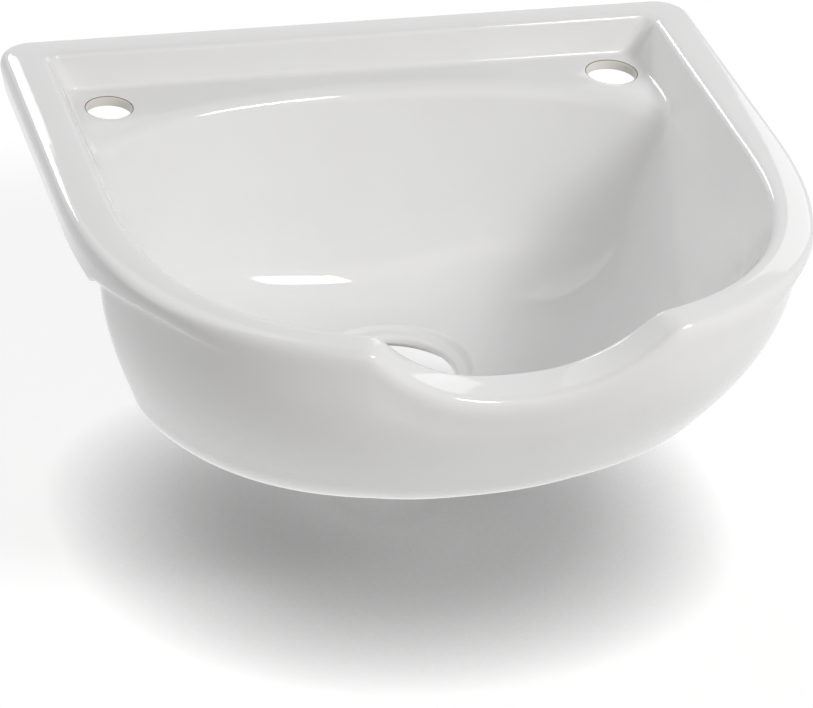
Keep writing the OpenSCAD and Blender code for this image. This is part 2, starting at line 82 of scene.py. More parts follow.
class PlacingSizes(bpy.types.PropertyGroup):
    wall_gap: length("Wall Gap", "From the wall to the basin's back edge", 12)
    rim_height: length("Rim Height", "Height of the rim over the wall bracket's middle", 133.5)


class OutlineSizes(bpy.types.PropertyGroup):
    half_width: length("Half Width", "Half width of the outline", 252.5)
    depth: length("Depth", "From the back edge to the front of the outline", 454)
    side_depth: length("Side Depth", "From the back edge to where the round front starts", 200)
    outer_power: fullness("Outer Fullness", "Fullness of the round front outside", 2.55)
    inner_power: fullness("Inner Fullness", "Fullness of the round front at the rim's inner edge", 2.75)
    corner_radius: length("Corner Radius", "Radius of the back corners outside", 22)
    inner_corner_radius: length("Inner Corner Radius", "Radius of the back corners inside", 10)


class RimSizes(bpy.types.PropertyGroup):
    width: length("Rim Width", "Width of the rim's top at the sides", 31.5)
    back_width: length("Back Rim Width", "Width of the rim's top at the back", 29)
    taper: length("Rim Taper", "How much narrower the rim is at the front", 7.5)
    crown: length("Crown", "Fall of the rim's crowned top to its outer edge", 3)
    roll: length("Outer Rounding", "Rounding of the rim's outer edge", 13)
    edge: length("Inner Rounding", "Rounding of the rim's inner edge", 5)
    draft: length("Flange Draft", "How far the flange comes in by its foot", 7)
    flange_end: length("Flange End", "Height below the rim at which the flange runs out near the front", 11)
    crease: length("Crease Inset", "How far the crease under the flange stands in", 12.5)
    crease_drop: length("Crease Drop", "How far the crease goes below the flange's foot", 2.5)
    crease_rounding: length("Crease Rounding", "Rounding of the crease where the flange has run out", 14)


class LedgeSizes(bpy.types.PropertyGroup):
    drop: length("Ledge Drop", "From the rim's top to the ledge", 28)
    thickness: length("Ledge Thickness", "Thickness of the ledge", 7.5)
    wall_lean: length("Wall Lean", "How far the side walls come in by the ledge's depth", 13.5)
    upstand_lean: length("Upstand Lean", "How far the upstand comes in by the ledge's depth", 3.5)
    lip_setback: length("Lip Setback", "From the back edge to the lip at the middle", 58.5)
    lip_half_width: length("Lip Half Width", "Half width of the lip's arc", 215)
    lip_bow: length("Lip Bow", "Depth of the lip's arc", 90)
    lip_rounding: length("Lip Rounding", "Rounding of the lip", 12)
    lip_drop: length("Lip Drop", "How far the lip's row lies below the ledge where the ledge ends", 8)
    foot_rounding: length("Foot Rounding", "Rounding of the foot of the walls", 5)


class BowlSizes(bpy.types.PropertyGroup):
    depth: length("Bowl Depth", "From the rim to the floor at the drain", 183)
    drain_setback: length("Drain Setback", "From the back edge to the drain", 178)
    floor_half_width: length("Floor Half Width", "Half width of the floor", 172)
    floor_back: length("Floor Back", "From the back edge to the back of the floor", 80)
    floor_front: length("Floor Front", "From the back edge to the front of the floor", 340)
    side_rise: length("Side Rise", "Rise of the floor to its sides", 8)
    front_rise: length("Front Rise", "Rise of the floor to its front", 5)
    back_power: fullness("Back Fullness", "Fullness of the floor behind the drain", 2.7)
    front_power: fullness("Front Fullness", "Fullness of the floor before the drain", 2.3)
    wall: length("Wall", "Thickness of the wall under the lip", 11)
    floor: length("Floor", "Thickness of the floor at the drain", 14)


class BellySizes(bpy.types.PropertyGroup):
    half_width: length("Belly Half Width", "Half width of the underside", 195.5)
    front: length("Belly Front", "From the back edge to the front of the underside", 348)
    power: fullness("Belly Fullness", "Fullness of the underside's plan", 2.45)
    side_rise: length("Belly Side Rise", "Rise of the underside to its sides", 6.5)
    front_rise: length("Belly Front Rise", "Rise of the underside to its front", 0.5)
    shoulder_drop: length("Shoulder Drop", "Height of the shoulder below the rim", 73)
    shoulder_in: length("Shoulder Inset", "How far the shoulder stands in from the outline", 16.5)


class NeckSizes(bpy.types.PropertyGroup):
    half_width: length("Neck Half Width", "Half width of the neck rest at rim height", 91.5)
    depth: length("Neck Depth", "Depth of the neck rest at the rim's inner edge", 43)
    front_depth: length("Neck Front Depth", "Depth of the neck rest at the rim's outer edge", 46)
    draw_in: length("Draw In", "How far the inner edge is drawn in", 17)
    power: fullness("Neck Fullness", "Fullness of the neck rest's curve", 2.5)
    roll: length("Neck Rounding", "Rounding of the outer edge in the neck rest", 18)


class HoleSizes(bpy.types.PropertyGroup):
    gap: length("Hole Gap", "Between the tap hole and the hose hole", 364)
    setback: length("Hole Setback", "From the back edge to both holes", 60)
    tap: length("Tap Hole", "Diameter of the tap hole", 35)
    hose: length("Hose Hole", "Diameter of the hose hole", 31)
    edge: length("Hole Edge", "Rounding of the glazed edge of both holes", 1.8)
    drain: length("Drain Hole", "Diameter of the drain hole", 84)
    drain_edge: length("Drain Edge", "Rounding of the drain hole's edge", 3)
    recess: length("Recess", "Diameter of the recess round the drain", 106)
    recess_depth: length("Recess Depth", "Depth of the recess", 2)
    land: length("Foot Ring", "Diameter of the flat foot ring under the drain", 124)
    land_height: length("Foot Ring Height", "Height of the foot ring", 2)
    hollow: length("Hollow", "Diameter of the hollow inside the foot ring", 104)
    drain_floor: length("Drain Floor", "Thickness of the floor round the drain hole", 6)


class LugSizes(bpy.types.PropertyGroup):
    gap: length("Lug Gap", "Between the two lugs' centres", 92)
    width: length("Lug Width", "Width of a lug", 38)
    depth: length("Lug Depth", "Length of a lug from front to back", 42)
    height: length("Lug Height", "Height of a lug below the ledge", 32)
    setback: length("Lug Setback", "From the back edge to a lug", 8)
    bolt_gap: length("Bolt Gap", "Between the two bolts of a lug", 22)
    socket: length("Socket", "Diameter of the sleeves' sockets", 15.1)
    socket_depth: length("Socket Depth", "Depth of the sleeves' sockets", 24)


class FastenerSizes(bpy.types.PropertyGroup):
    bolt_flats: length("Carrier Bolt Flats", "Across the flats of a carrier bolt's head", 13)
    bolt_head: length("Carrier Bolt Head", "Height of a carrier bolt's head", 5.3)
    bolt_radius: length("Carrier Bolt Radius", "Radius of a carrier bolt's shank", 4)
    bolt_length: length("Carrier Bolt Length", "Length of a carrier bolt under its head", 28.5)
    bolt_pitch: length("Carrier Bolt Pitch", "Pitch of a carrier bolt's thread", 1.25)
    bolt_washer: length("Carrier Washer", "Outer radius of a carrier bolt's washer", 8)
    bolt_washer_thickness: length("Carrier Washer Thickness", "Thickness of a carrier bolt's washer", 1.6)
    carrier_under: length(
        "Carrier Underside", "Height of the carrier's underside over the bracket's middle", 59
    )
    pivot_setback: length("Pivot Setback", "From the wall to the pivot", 40)
    pivot_height: length("Pivot Height", "Height of the pivot over the bracket's middle", 25)
    pivot_radius: length("Pivot Radius", "Radius of the pivot bolts", 6)
    pivot_pitch: length("Pivot Pitch", "Pitch of the pivot bolts' thread", 1.75)
    pivot_flats: length("Pivot Flats", "Across the flats of the pivot bolts' heads and nuts", 19)
    pivot_head: length("Pivot Head", "Height of the pivot bolts' heads", 7.5)
    head_at: length("Head Washer Place", "From the middle to the washer under a pivot bolt's head", 52.5)
    ear_at: length("Ear Place", "From the middle to the outside of the bracket's ears", 62)
    disc_thickness: length("Disc Thickness", "Thickness of the friction discs", 3)
    disc_radius: length("Disc Radius", "Outer radius of the friction discs", 17)
    cheek_at: length("Cheek Place", "From the middle to the outside of the carrier's cheeks", 69)
    washer_radius: length("Washer Radius", "Outer radius of the pivot washers", 12)
    washer_thickness: length("Washer Thickness", "Thickness of the pivot washers", 2.5)
    spring_radius: length("Spring Radius", "Outer radius of the coned washers", 11.5)
    spring_sheet: length("Spring Sheet", "Thickness of the coned washers' sheet", 1.2)
    spring_cone: length("Spring Cone", "Height of the coned washers' cone", 0.8)
    nut_at: length("Nut Place", "From the middle to the inside of the lock nuts", 75.5)
    nut_hexagon: length("Nut Hexagon", "Height of the lock nuts' hexagon", 7)
    nut_height: length("Nut Height", "Height of the lock nuts with their collars", 10)
    play: length("Play", "Play of a threaded piece in its hole, on the radius", 0.05)


class FinishColours(bpy.types.PropertyGroup):
    glaze: colour("Glaze", "White glaze over the china", "#F6F6F6")
    bisque: colour("Bisque", "Bare china where no glaze lies", "#EDEAE4")
    zinc_straw: colour("Zinc, Straw", "Warm patches of the passivated zinc sheet", "#C3C0B8")
    zinc_blue: colour("Zinc, Blue", "Cool patches of the passivated zinc sheet", "#B7BDC4")
    bright_zinc: colour("Bright Zinc", "Bolts, nuts and washers", "#CACDD0")
    spring: colour("Spring Steel", "Oiled coned washers", "#56565A")
    brass: colour("Brass", "Sleeves in the lugs", "#D0AE6C")
    rubber: colour("Rubber", "Pads under the lugs", "#202021")
    nylon: colour("Nylon", "Bushes and the nuts' inserts", "#E4E0D2")
    fibre: colour("Fibre", "Friction discs", "#7C573C")
    floor: colour("Floor", "Floor of the studio", "#E2E2E2")


GROUPS = {
    "basin_placing": PlacingSizes,
    "basin_outline": OutlineSizes,
    "basin_rim": RimSizes,
    "basin_ledge": LedgeSizes,
    "basin_bowl": BowlSizes,
    "basin_belly": BellySizes,
    "basin_neck": NeckSizes,
    "basin_holes": HoleSizes,
    "basin_lugs": LugSizes,
    "basin_fasteners": FastenerSizes,
    "basin_colours": FinishColours,
}

# Columns of the casting's surface in each stretch of half the plan: back edge, corner, side, round front
COLUMNS = (30, 14, 40, 106)
# Y between which the belly comes out to the flange, the flange tapers, and its crease melts away
BELLY_FROM, BELLY_TO = -0.205, -0.295
TAPER_FROM, TAPER_TO = -0.276, -0.410
TAPER_POWER = 0.6
MELT_FROM, MELT_TO = -0.340, -0.420
# Place of the crown's corner across the rim, and how far the shoulder follows the neck rest
CROWN_AT = 0.41
SHOULDER_FOLLOW = 0.15
# How far the lip and the foot of the wall follow the neck rest, inward and down
LIP_FOLLOW, FOOT_FOLLOW = (0.7, 0.8), (0.8, 0.9)
# Where the flange and the crease lie between rim and shoulder once they have melted away, beside the
# neck rest and in it
FLANGE_MELTED, CREASE_MELTED = (0.22, 0.5), (0.3, 0.55)
# Width over which the ledge runs out into the side wall
LEDGE_RUN_OUT = 0.03
# How far the body under the rim stands in from the back edge
BACK_RELIEF = 0.0015
# The slope of the drain's recess starts inside its nominal radius and ends outside it
SLOPE_INSIDE, SLOPE_OUTSIDE = 0.0028, 0.0022
# Rows of each column on the foot ring and in its hollow, where the kiln's shelf left the china bare
BARE_ROWS = slice(-15, -3)
# How bare the rings of a drilled hole's edge are: at a half the glaze ends in a thin dark line
GLAZE_END = (0, 0.5, 0.5, 1, 1, 1)
# Radius of a lug's corners, and of the fillet at its root
LUG_CORNER, LUG_FILLET = 0.005, 0.007

# The point that the lamps face, the strength of the white world as a light, and the floor, which is
# clear of the belly: at full tilt that reaches 152 mm below the middle of the wall bracket
MIDDLE = Vector((0, -0.24, 0.05))
WORLD_LIGHT = 0.24
FLOOR_LEVEL, FLOOR_REACH = -0.155, 30
# Each soft box with its watts, its width and height, its place and its colour
LAMPS = (
    ("key", 35, (0.9, 0.45), (1.367, -2.022, 1.805), "#FFFFFF"),
    ("front_fill", 8, (2.6, 2.6), (0, -2.96, 1.32), "#FFF6EE"),
    ("back_left", 30, (3.6, 3.6), (-1.65, 1.41, 1.93), "#FFFFFF"),
    ("back_edge", 10, (1.1, 0.4), (-0.686, 2.318, 1.458), "#FFFFFF"),
    ("right_edge", 6, (1.2, 1.2), (1.923, 1.683, 1.318), "#FFFFFF"),
)
# The camera as fitted to the photograph: focal length and width in pixels, place, and own X and Y
FOCAL_PIXELS, PHOTO_WIDTH = 4000, 813
CAMERA_PLACE = Vector((-0.72828, -2.439979, 1.407297))
CAMERA_RIGHT = Vector((0.96036995, -0.27031081, 0.06798256))
CAMERA_UP = Vector((0.08590776, 0.519088, 0.85039256))


def add_node(tree, kind, inputs=None, **settings):
    """Adds a node with its settings. An input takes a value, a socket, a node's first output, or a list."""
    node = tree.nodes.new(kind)
    for key, value in settings.items():
        setattr(node, key, value)
    for socket, value in (inputs or {}).items():
        for source in value if isinstance(value, list) else [value]:
            if isinstance(source, bpy.types.Node):
                source = next(output for output in source.outputs if output.enabled)
            if isinstance(source, bpy.types.NodeSocket):
                tree.links.new(source, node.inputs[socket])
            else:
                node.inputs[socket].default_value = source
    return node


def new_material(name):
    """An empty node material, its tree and the object's own coordinates."""
    material = bpy.data.materials.new(name)
    material.use_nodes = True
    tree = material.node_tree
    tree.nodes.clear()
    return material, tree, add_node(tree, "ShaderNodeTexCoord").outputs["Object"]


def rgba(rgb, *factors):
    """A colour for a node's socket, scaled by one factor or by one for each channel."""
    if len(factors) < 3:
        factors = (factors or (1,)) * 3
    return (*[c * f for c, f in zip(rgb, factors)], 1)


def linked(name, data):
    """A new object in the scene."""
    piece = bpy.data.objects.new(name, data)
    bpy.context.collection.objects.link(piece)
    return piece


def smoothed(data, degrees=32):
    """Smooth shading that breaks at the real edges."""
    for polygon in data.polygons:
        polygon.use_smooth = True
    data.set_sharp_from_angle(angle=math.radians(degrees))
    return data


def mix(a, b, t):
    return a + (b - a) * t


def smooth(start, end, x):
    t = min(max((x - start) / (end - start), 0), 1)
    return t * t * (3 - 2 * t)


def at_height(p, z):
    return Vector((p.x, p.y, z))


def half_plan():
    """The columns of half the plan, each a stretch and its share, closer where the lip runs out."""
    columns = []
    for stretch, count in enumerate(COLUMNS):
        last = count + 1 if stretch == 3 else count
        columns += [(stretch, (k / count) ** (1.25 if stretch == 2 else 1)) for k in range(last)]
    return columns


def plan_ring(size, inset, back, radius, column):
    """One point of the D-shaped plan, inset from the outline."""
    outline, rim = size.basin_outline, size.basin_rim
    stretch, share = column
    half = outline.half_width - inset
    power = mix(outline.outer_power, outline.inner_power, min(inset / rim.width, 1))
    if stretch == 0:
        return Vector(((half - radius) * share, -back))
    if stretch == 1:
        turn = share * math.pi / 2
        return Vector((half - radius + radius * math.sin(turn), -back - radius + radius * math.cos(turn)))
    if stretch == 2:
        return Vector((half, mix(-back - radius, -outline.side_depth, share)))
    turn = share * math.pi / 2
    reach = outline.depth - outline.side_depth - inset + rim.taper * min(inset / rim.width, 1)
    across, along = abs(math.cos(turn)), math.sin(turn)
    scale = ((across / half) ** power + (along / reach) ** power) ** (-1 / power)
    return Vector((scale * across if share < 1 else 0, -outline.side_depth - scale * along))


def oval(size, p, half, back, front, back_power, front_power):
    """The point of an oval about the drain that lies towards p."""
    centre = Vector((0, -size.basin_bowl.drain_setback))
    ray = p - centre
    deep, power = (back, back_power) if ray.y > 0 else (front, front_power)
    scale = ((abs(ray.x) / half) ** power + (abs(ray.y) / deep) ** power) ** (-1 / power)
    return centre + ray * scale


def lip_reach(size, way):
    """Distance from the drain's axis to the lip's arc in one direction."""
    ledge = size.basin_ledge
    start = -size.basin_bowl.drain_setback + ledge.lip_setback + ledge.lip_bow
    a = (way.x / ledge.lip_half_width) ** 2 + (way.y / ledge.lip_bow) ** 2
    b = 2 * start * way.y / ledge.lip_bow**2
    c = (start / ledge.lip_bow) ** 2 - 1
    distance = (math.sqrt(max(b * b - 4 * a * c, 0)) - b) / (2 * a)
    # The arc is the back half of an ellipse. Past its ends it is out of reach, one metre away
    return distance if start + distance * way.y > 0 else 1


def neck_share(size, column, x):
    """How deep the neck rest is at a column, from 0 to 1."""
    if column[0] < 3:
        return 0
    share = 1 - (abs(x) / size.basin_neck.half_width) ** size.basin_neck.power
    # Past its ends the neck rest fades out
    return (share + math.sqrt(share * share + 0.01)) / 2


def section_corners(size, column):
    """The corners of one column's section, from the bowl's floor over the rim to the underside.

    With them come its direction from the drain, and how deep the neck rest is there."""
    outline, rim, ledge = size.basin_outline, size.basin_rim, size.basin_ledge
    bowl, belly, neck = size.basin_bowl, size.basin_belly, size.basin_neck
    drain = Vector((0, -bowl.drain_setback))
    back_corner = outline.corner_radius - 0.002
    inner_corner = outline.inner_corner_radius

    def ring(inset):
        return plan_ring(size, inset, BACK_RELIEF, back_corner, column)

    edge = plan_ring(size, 0, 0, outline.corner_radius, column)
    out = smooth(BELLY_FROM, BELLY_TO, edge.y)
    taper = min(max((edge.y - TAPER_FROM) / (TAPER_TO - TAPER_FROM), 0), 1) ** TAPER_POWER
    melt = smooth(MELT_FROM, MELT_TO, edge.y)
    inner = plan_ring(size, rim.width, rim.back_width, inner_corner, column)
    lean, upstand = rim.width + ledge.wall_lean, rim.back_width + ledge.upstand_lean
    foot = plan_ring(size, lean, upstand, inner_corner, column)
    wall = plan_ring(size, lean + ledge.lip_drop / 2, upstand + 0.001, inner_corner, column)

    ray = wall - drain
    way = ray.normalized()
    # The lip is on its arc or on the wall, whichever is nearer, with a smooth change between them
    arc, reach, blend = lip_reach(size, way), ray.length, 0.005
    share = min(max(0.5 + (arc - reach) / (2 * blend), 0), 1)
    lip_at = mix(arc, reach, share) - blend * share * (1 - share)
    lip = drain + way * lip_at
    drop = ledge.lip_drop * (1 - smooth(0, LEDGE_RUN_OUT, (foot - lip).length))

    before, behind = max(-way.y, 0) ** 2, max(way.y, 0) ** 2
    beside = 1 - before - behind
    floor_back, floor_front = bowl.drain_setback - bowl.floor_back, bowl.floor_front - bowl.drain_setback
    powers = bowl.back_power, bowl.front_power
    heel = oval(size, wall, bowl.floor_half_width, floor_back, floor_front, *powers)
    belly_back = floor_back + bowl.wall + 0.001
    belly_front = belly.front - bowl.drain_setback
    base = oval(size, wall, belly.half_width, belly_back, belly_front, bowl.back_power, belly.power)
    floor_z = -bowl.depth
    bottom_z = floor_z - bowl.floor
    base = at_height(base, bottom_z + belly.side_rise * beside + belly.front_rise * before)
    outside = drain + way * (lip_at + bowl.wall)

    dip = neck_share(size, column, inner.x)
    low = -neck.depth * dip
    pull = Vector((0, neck.draw_in * dip))
    side = mix(mix(outside, base.to_2d(), 0.2), ring(belly.shoulder_in), out)
    side = at_height(side, -belly.shoulder_drop)
    shoulder = mix(side, base, SHOULDER_FOLLOW * dip)
    sunk = dip * (neck.front_depth - rim.crown) / (belly.shoulder_drop - rim.crown)
    outer = mix(at_height(edge, -rim.crown), side, sunk)
    rim_in = at_height(inner + pull, low)
    crown = mix(rim_in, outer, CROWN_AT) + Vector((0, 0, rim.crown * CROWN_AT))

    under = -ledge.drop - ledge.thickness
    flange = at_height(ring(mix(rim.draft, 0.001, taper)), mix(under, -rim.flange_end / 2, taper))
    crease_z = mix(under - rim.crease_drop * out, -rim.flange_end, taper)
    crease = at_height(mix(outside, ring(mix(rim.crease, rim.crease * 0.65, taper)), out), crease_z)
    corners = [
        at_height(drain, floor_z),
        at_height(heel, floor_z + bowl.side_rise * beside + bowl.front_rise * before),
        at_height(lip + pull * LIP_FOLLOW[0], -ledge.drop - drop + low * LIP_FOLLOW[1]),
        at_height(foot + pull * FOOT_FOLLOW[0], -ledge.drop + low * FOOT_FOLLOW[1]),
        rim_in,
        crown,
        outer,
        mix(flange, mix(outer, shoulder, mix(*FLANGE_MELTED, dip)), melt),
        mix(crease, mix(outer, shoulder, mix(*CREASE_MELTED, dip)), melt),
        shoulder,
        base,
        at_height(drain, bottom_z),
    ]
    return corners, way, dip


def section_rows(size, column):
    """The rows of one column: hole's edge, recess, floor, wall, rim, belly, land and back to the hole."""
    rim, ledge, bowl, holes = size.basin_rim, size.basin_ledge, size.basin_bowl, size.basin_holes
    corners, way, dip = section_corners(size, column)
    drain_y = -bowl.drain_setback

    def at(radius, z):
        return Vector((way.x * radius, drain_y + way.y * radius, z))

    hole, edge = holes.drain / 2, holes.drain_edge
    recess_z = -bowl.depth - holes.recess_depth
    recess_r = holes.recess / 2
    quarter = [k / 6 * math.pi / 2 for k in range(7)]
    rows = [at(hole + edge - edge * math.cos(a), recess_z - edge + edge * math.sin(a)) for a in quarter]
    start, end = recess_r - SLOPE_INSIDE, recess_r + SLOPE_OUTSIDE
    rows += [at(mix(hole + edge, start, t), recess_z) for t in (0.35, 0.7, 1)]

    floor = (corners[1] - corners[0]).to_2d().length
    lift = mix(corners[0].z, corners[1].z, end / floor)
    rows += [at(mix(start, end, k / 9), mix(recess_z, lift, smooth(0, 1, k / 9))) for k in range(1, 10)]

    # The floor runs straight for 3 mm round the recess, and then bends up to the wall
    grip = max((corners[1] - corners[0]).length - recess_r - 0.003, 0.006)
    y = plan_ring(size, 0, 0, size.basin_outline.corner_radius, column).y
    melt = smooth(MELT_FROM, MELT_TO, y)
    roll = mix(rim.roll, size.basin_neck.roll, dip)
    crease = mix(rim.edge, rim.crease_rounding, smooth(TAPER_FROM, TAPER_TO, y))
    # The rounding of each corner, as a length or as a share of the straight parts beside it
    lip, foot = ledge.lip_rounding, ledge.foot_rounding
    sizes = [0, 0.45, lip, foot, rim.edge, 0.48, roll, rim.edge, crease, 0.75, 0.48]
    most_before = {7: mix(0.36, 0.08, melt)}
    most_after = {6: mix(0.62, 0.9, melt), 8: 0.24}
    # Rows round each corner, and the straight ones before it
    steps = [0, 28, 14, 8, 8, 8, 16, 8, 12, 20, 28]
    gaps = [0, 6, 12, 8, 4, 2, 3, 3, 4, 3, 9]
    last = rows[-1]
    for k in range(1, 11):
        before, after = (corners[k] - corners[k - 1]).length, (corners[k + 1] - corners[k]).length
        if k in (1, 5, 9, 10):
            share_a = share_b = sizes[k]
        else:
            share_a = min(sizes[k] / before, most_before.get(k, 0.48))
            share_b = min(sizes[k] / after, most_after.get(k, 0.48))
        if k == 1:
            share_a = min(grip / before, 0.7)
        if k == 9:
            share_b = 0.4
        a, b = mix(corners[k], corners[k - 1], share_a), mix(corners[k], corners[k + 1], share_b)
        rows += [mix(last, a, j / gaps[k]) for j in range(1, gaps[k])]
        for j in range(steps[k] + 1):
            t = j / steps[k]
            rows.append((1 - t) ** 2 * a + 2 * t * (1 - t) * corners[k] + t * t * b)
        last = rows[-1]

    land_z = corners[11].z - holes.land_height
    land_r, hollow_r = holes.land / 2, holes.hollow / 2
    hollow_z = recess_z - holes.drain_floor

    def under(radius):
        return mix(corners[11].z, corners[10].z, radius / (corners[10] - corners[11]).to_2d().length)

    # The underside bends down to the foot ring over 9 mm, and the ring's edges are broken
    root_r = land_r + 0.009
    root = at(root_r, under(root_r))
    rows += [mix(last, root, j / 6) for j in range(1, 7)]
    bend = at(land_r + 0.003, under(land_r + 0.003))
    brow = at(land_r + 0.0005, land_z + 0.001)
    rows += [(1 - t) ** 2 * root + 2 * t * (1 - t) * bend + t * t * brow for t in (0.25, 0.5, 0.75, 1)]
    rows += [at(land_r, land_z + 0.0003), at(land_r - 0.001, land_z)]
    rows += [at(mix(land_r - 0.001, hollow_r + 0.001, t), land_z) for t in (0.5, 1)]
    rows += [at(hollow_r, land_z + 0.001), at(hollow_r, mix(land_z, hollow_z, 0.5))]
    fillet = 0.002
    rows += [at(hollow_r - fillet * math.sin(a), hollow_z - fillet * math.cos(a)) for a in quarter[::2]]
    rows += [at(mix(hollow_r - fillet, hole + 0.001, t), hollow_z) for t in (0.5, 1)]
    rows += [at(hole, hollow_z + 0.001), at(hole, mix(hollow_z + 0.001, recess_z - edge, 0.6))]
    return rows


def ring_of(mesh, centre, radius, z, count=64):
    """A closed ring of vertices about an upright axis."""
    return [
        mesh.verts.new((
            centre.x + radius * math.cos(2 * math.pi * k / count),
            centre.y + radius * math.sin(2 * math.pi * k / count),
            z,
        ))
        for k in range(count)
    ]


def join_rings(mesh, low, high):
    """Skins two rings of the same count."""
    count = len(low)
    for k in range(count):
        mesh.faces.new((low[k], low[(k + 1) % count], high[(k + 1) % count], high[k]))


def loop_edges(mesh, ring):
    """The edges of a closed ring, made where they are missing."""
    count = len(ring)
    found = []
    for k in range(count):
        pair = (ring[k], ring[(k + 1) % count])
        found.append(mesh.edges.get(pair) or mesh.edges.new(pair))
    return found


def open_ledge_hole(mesh, centre, radius, edge, top, under, bare):
    """Opens a round hole through the flat ledge, with rounded edges on both faces and a bare wall."""
    mouths = []
    for level, side in ((top, -1), (under, 1)):
        reach = radius + edge + 0.003
        flat = [
            f
            for f in mesh.faces
            if all(abs(v.co.z - level) < 1e-6 for v in f.verts)
            and min((v.co.to_2d() - centre).length for v in f.verts) < reach
        ]
        doomed = set(flat)
        border = [e for f in flat for e in f.edges if any(g not in doomed for g in e.link_faces)]
        bmesh.ops.delete(mesh, geom=flat, context="FACES")
        border = [e for e in set(border) if e.is_valid]
        rings = []
        for k in range(6):
            turn = k / 5 * math.pi / 2
            ring_r = radius + edge - edge * math.sin(turn)
            rings.append(ring_of(mesh, centre, ring_r, level + side * edge * (1 - math.cos(turn))))
            for vertex in rings[-1]:
                vertex[bare] = GLAZE_END[k]
        bmesh.ops.triangle_fill(mesh, use_beauty=True, edges=border + loop_edges(mesh, rings[0]))
        for a, b in zip(rings, rings[1:]):
            join_rings(mesh, a, b)
        mouths.append(rings[-1])
    join_rings(mesh, *mouths)
    strays = [v for v in mesh.verts if not v.link_faces]
    bmesh.ops.delete(mesh, geom=strays, context="VERTS")


def lug_outline(lug, centre, grow, back_limit, steps=6):
    """A rectangle with round corners, grown all round but never past the back limit."""
    radius = LUG_CORNER + max(grow, 0.001 - LUG_CORNER)
    points = []
    for corner, (sx, sy) in enumerate(((1, 1), (-1, 1), (-1, -1), (1, -1))):
        cx = centre.x + sx * (lug.width / 2 + grow - radius)
        cy = centre.y + sy * (lug.depth / 2 + grow - radius)
        for k in range(steps + 1):
            turn = (corner + k / steps) * math.pi / 2
            x, y = cx + radius * math.cos(turn), cy + radius * math.sin(turn)
            points.append((x, min(y, back_limit)))
    return points


def cast_lug(mesh, size, side, bare):
    """One fixing lug under the ledge, with its two blind sockets and a flared root."""
    lug, ledge = size.basin_lugs, size.basin_ledge
    centre = Vector((side * lug.gap / 2, -lug.setback - lug.depth / 2))
    under = -ledge.drop - ledge.thickness
    foot = under - lug.height
    levels = [(foot, -0.0012), (foot + 0.0004, -0.0004), (foot + 0.0014, 0)]
    levels += [(foot + lug.height * t, 0) for t in (0.3, 0.6)]
    for k in range(9):
        turn = k / 8 * math.pi / 2
        levels.append((under - LUG_FILLET * (1 - math.sin(turn)), LUG_FILLET * (1 - math.cos(turn))))
    levels.append((under + 0.003, LUG_FILLET + 0.0002))
    rings = [
        [mesh.verts.new((x, y, z)) for x, y in lug_outline(lug, centre, grow, -lug.setback)]
        for z, grow in levels
    ]
    for a, b in zip(rings, rings[1:]):
        join_rings(mesh, a, b)
    mesh.faces.new(rings[-1])
    mouth_edges = loop_edges(mesh, rings[0])
    for t in (-1, 1):
        axis = centre + Vector((0, t * lug.bolt_gap / 2))
        mouth = ring_of(mesh, axis, lug.socket / 2, foot, 40)
        mouth_edges += loop_edges(mesh, mouth)
        end = ring_of(mesh, axis, lug.socket / 2, foot + lug.socket_depth, 40)
        join_rings(mesh, mouth, end)
        mesh.faces.new(end)
    bmesh.ops.triangle_fill(mesh, use_beauty=True, edges=mouth_edges)
    for v in rings[0] + rings[1]:
        v[bare] = 1.0


def cast_basin(size):
    """The whole casting as one mesh: shell, holes, land and lugs."""
    mesh = bmesh.new()
    bare = mesh.verts.layers.float.new("bare_china")
    half = [section_rows(size, column) for column in half_plan()]
    mirrored = [[Vector((-p.x, p.y, p.z)) for p in rows] for rows in half[-2:0:-1]]
    columns = [[mesh.verts.new(p) for p in rows] for rows in half + mirrored]
    count, rows = len(columns), len(columns[0])
    for i in range(count):
        here, there = columns[i], columns[(i + 1) % count]
        for r in range(rows):
            s = (r + 1) % rows
            mesh.faces.new((here[r], here[s], there[s], there[r]))
        for vertex in here[BARE_ROWS]:
            vertex[bare] = 1.0

    holes, ledge = size.basin_holes, size.basin_ledge
    top, under = -ledge.drop, -ledge.drop - ledge.thickness
    for side, hole in ((1, holes.tap), (-1, holes.hose)):
        centre = Vector((side * holes.gap / 2, -holes.setback))
        open_ledge_hole(mesh, centre, hole / 2, holes.edge, top, under, bare)
    for side in (-1, 1):
        cast_lug(mesh, size, side, bare)
    bmesh.ops.recalc_face_normals(mesh, faces=mesh.faces)
    shift = Vector((0, -size.basin_placing.wall_gap, size.basin_placing.rim_height))
    bmesh.ops.translate(mesh, verts=mesh.verts, vec=shift)
    low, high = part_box("basin_body")
    for v in mesh.verts:
        v.co = [min(max(c, a), b) for c, a, b in zip(v.co, low, high)]
    data = bpy.data.meshes.new("china_casting")
    mesh.to_mesh(data)
    mesh.free()
    return linked("china_casting", smoothed(data, 50))


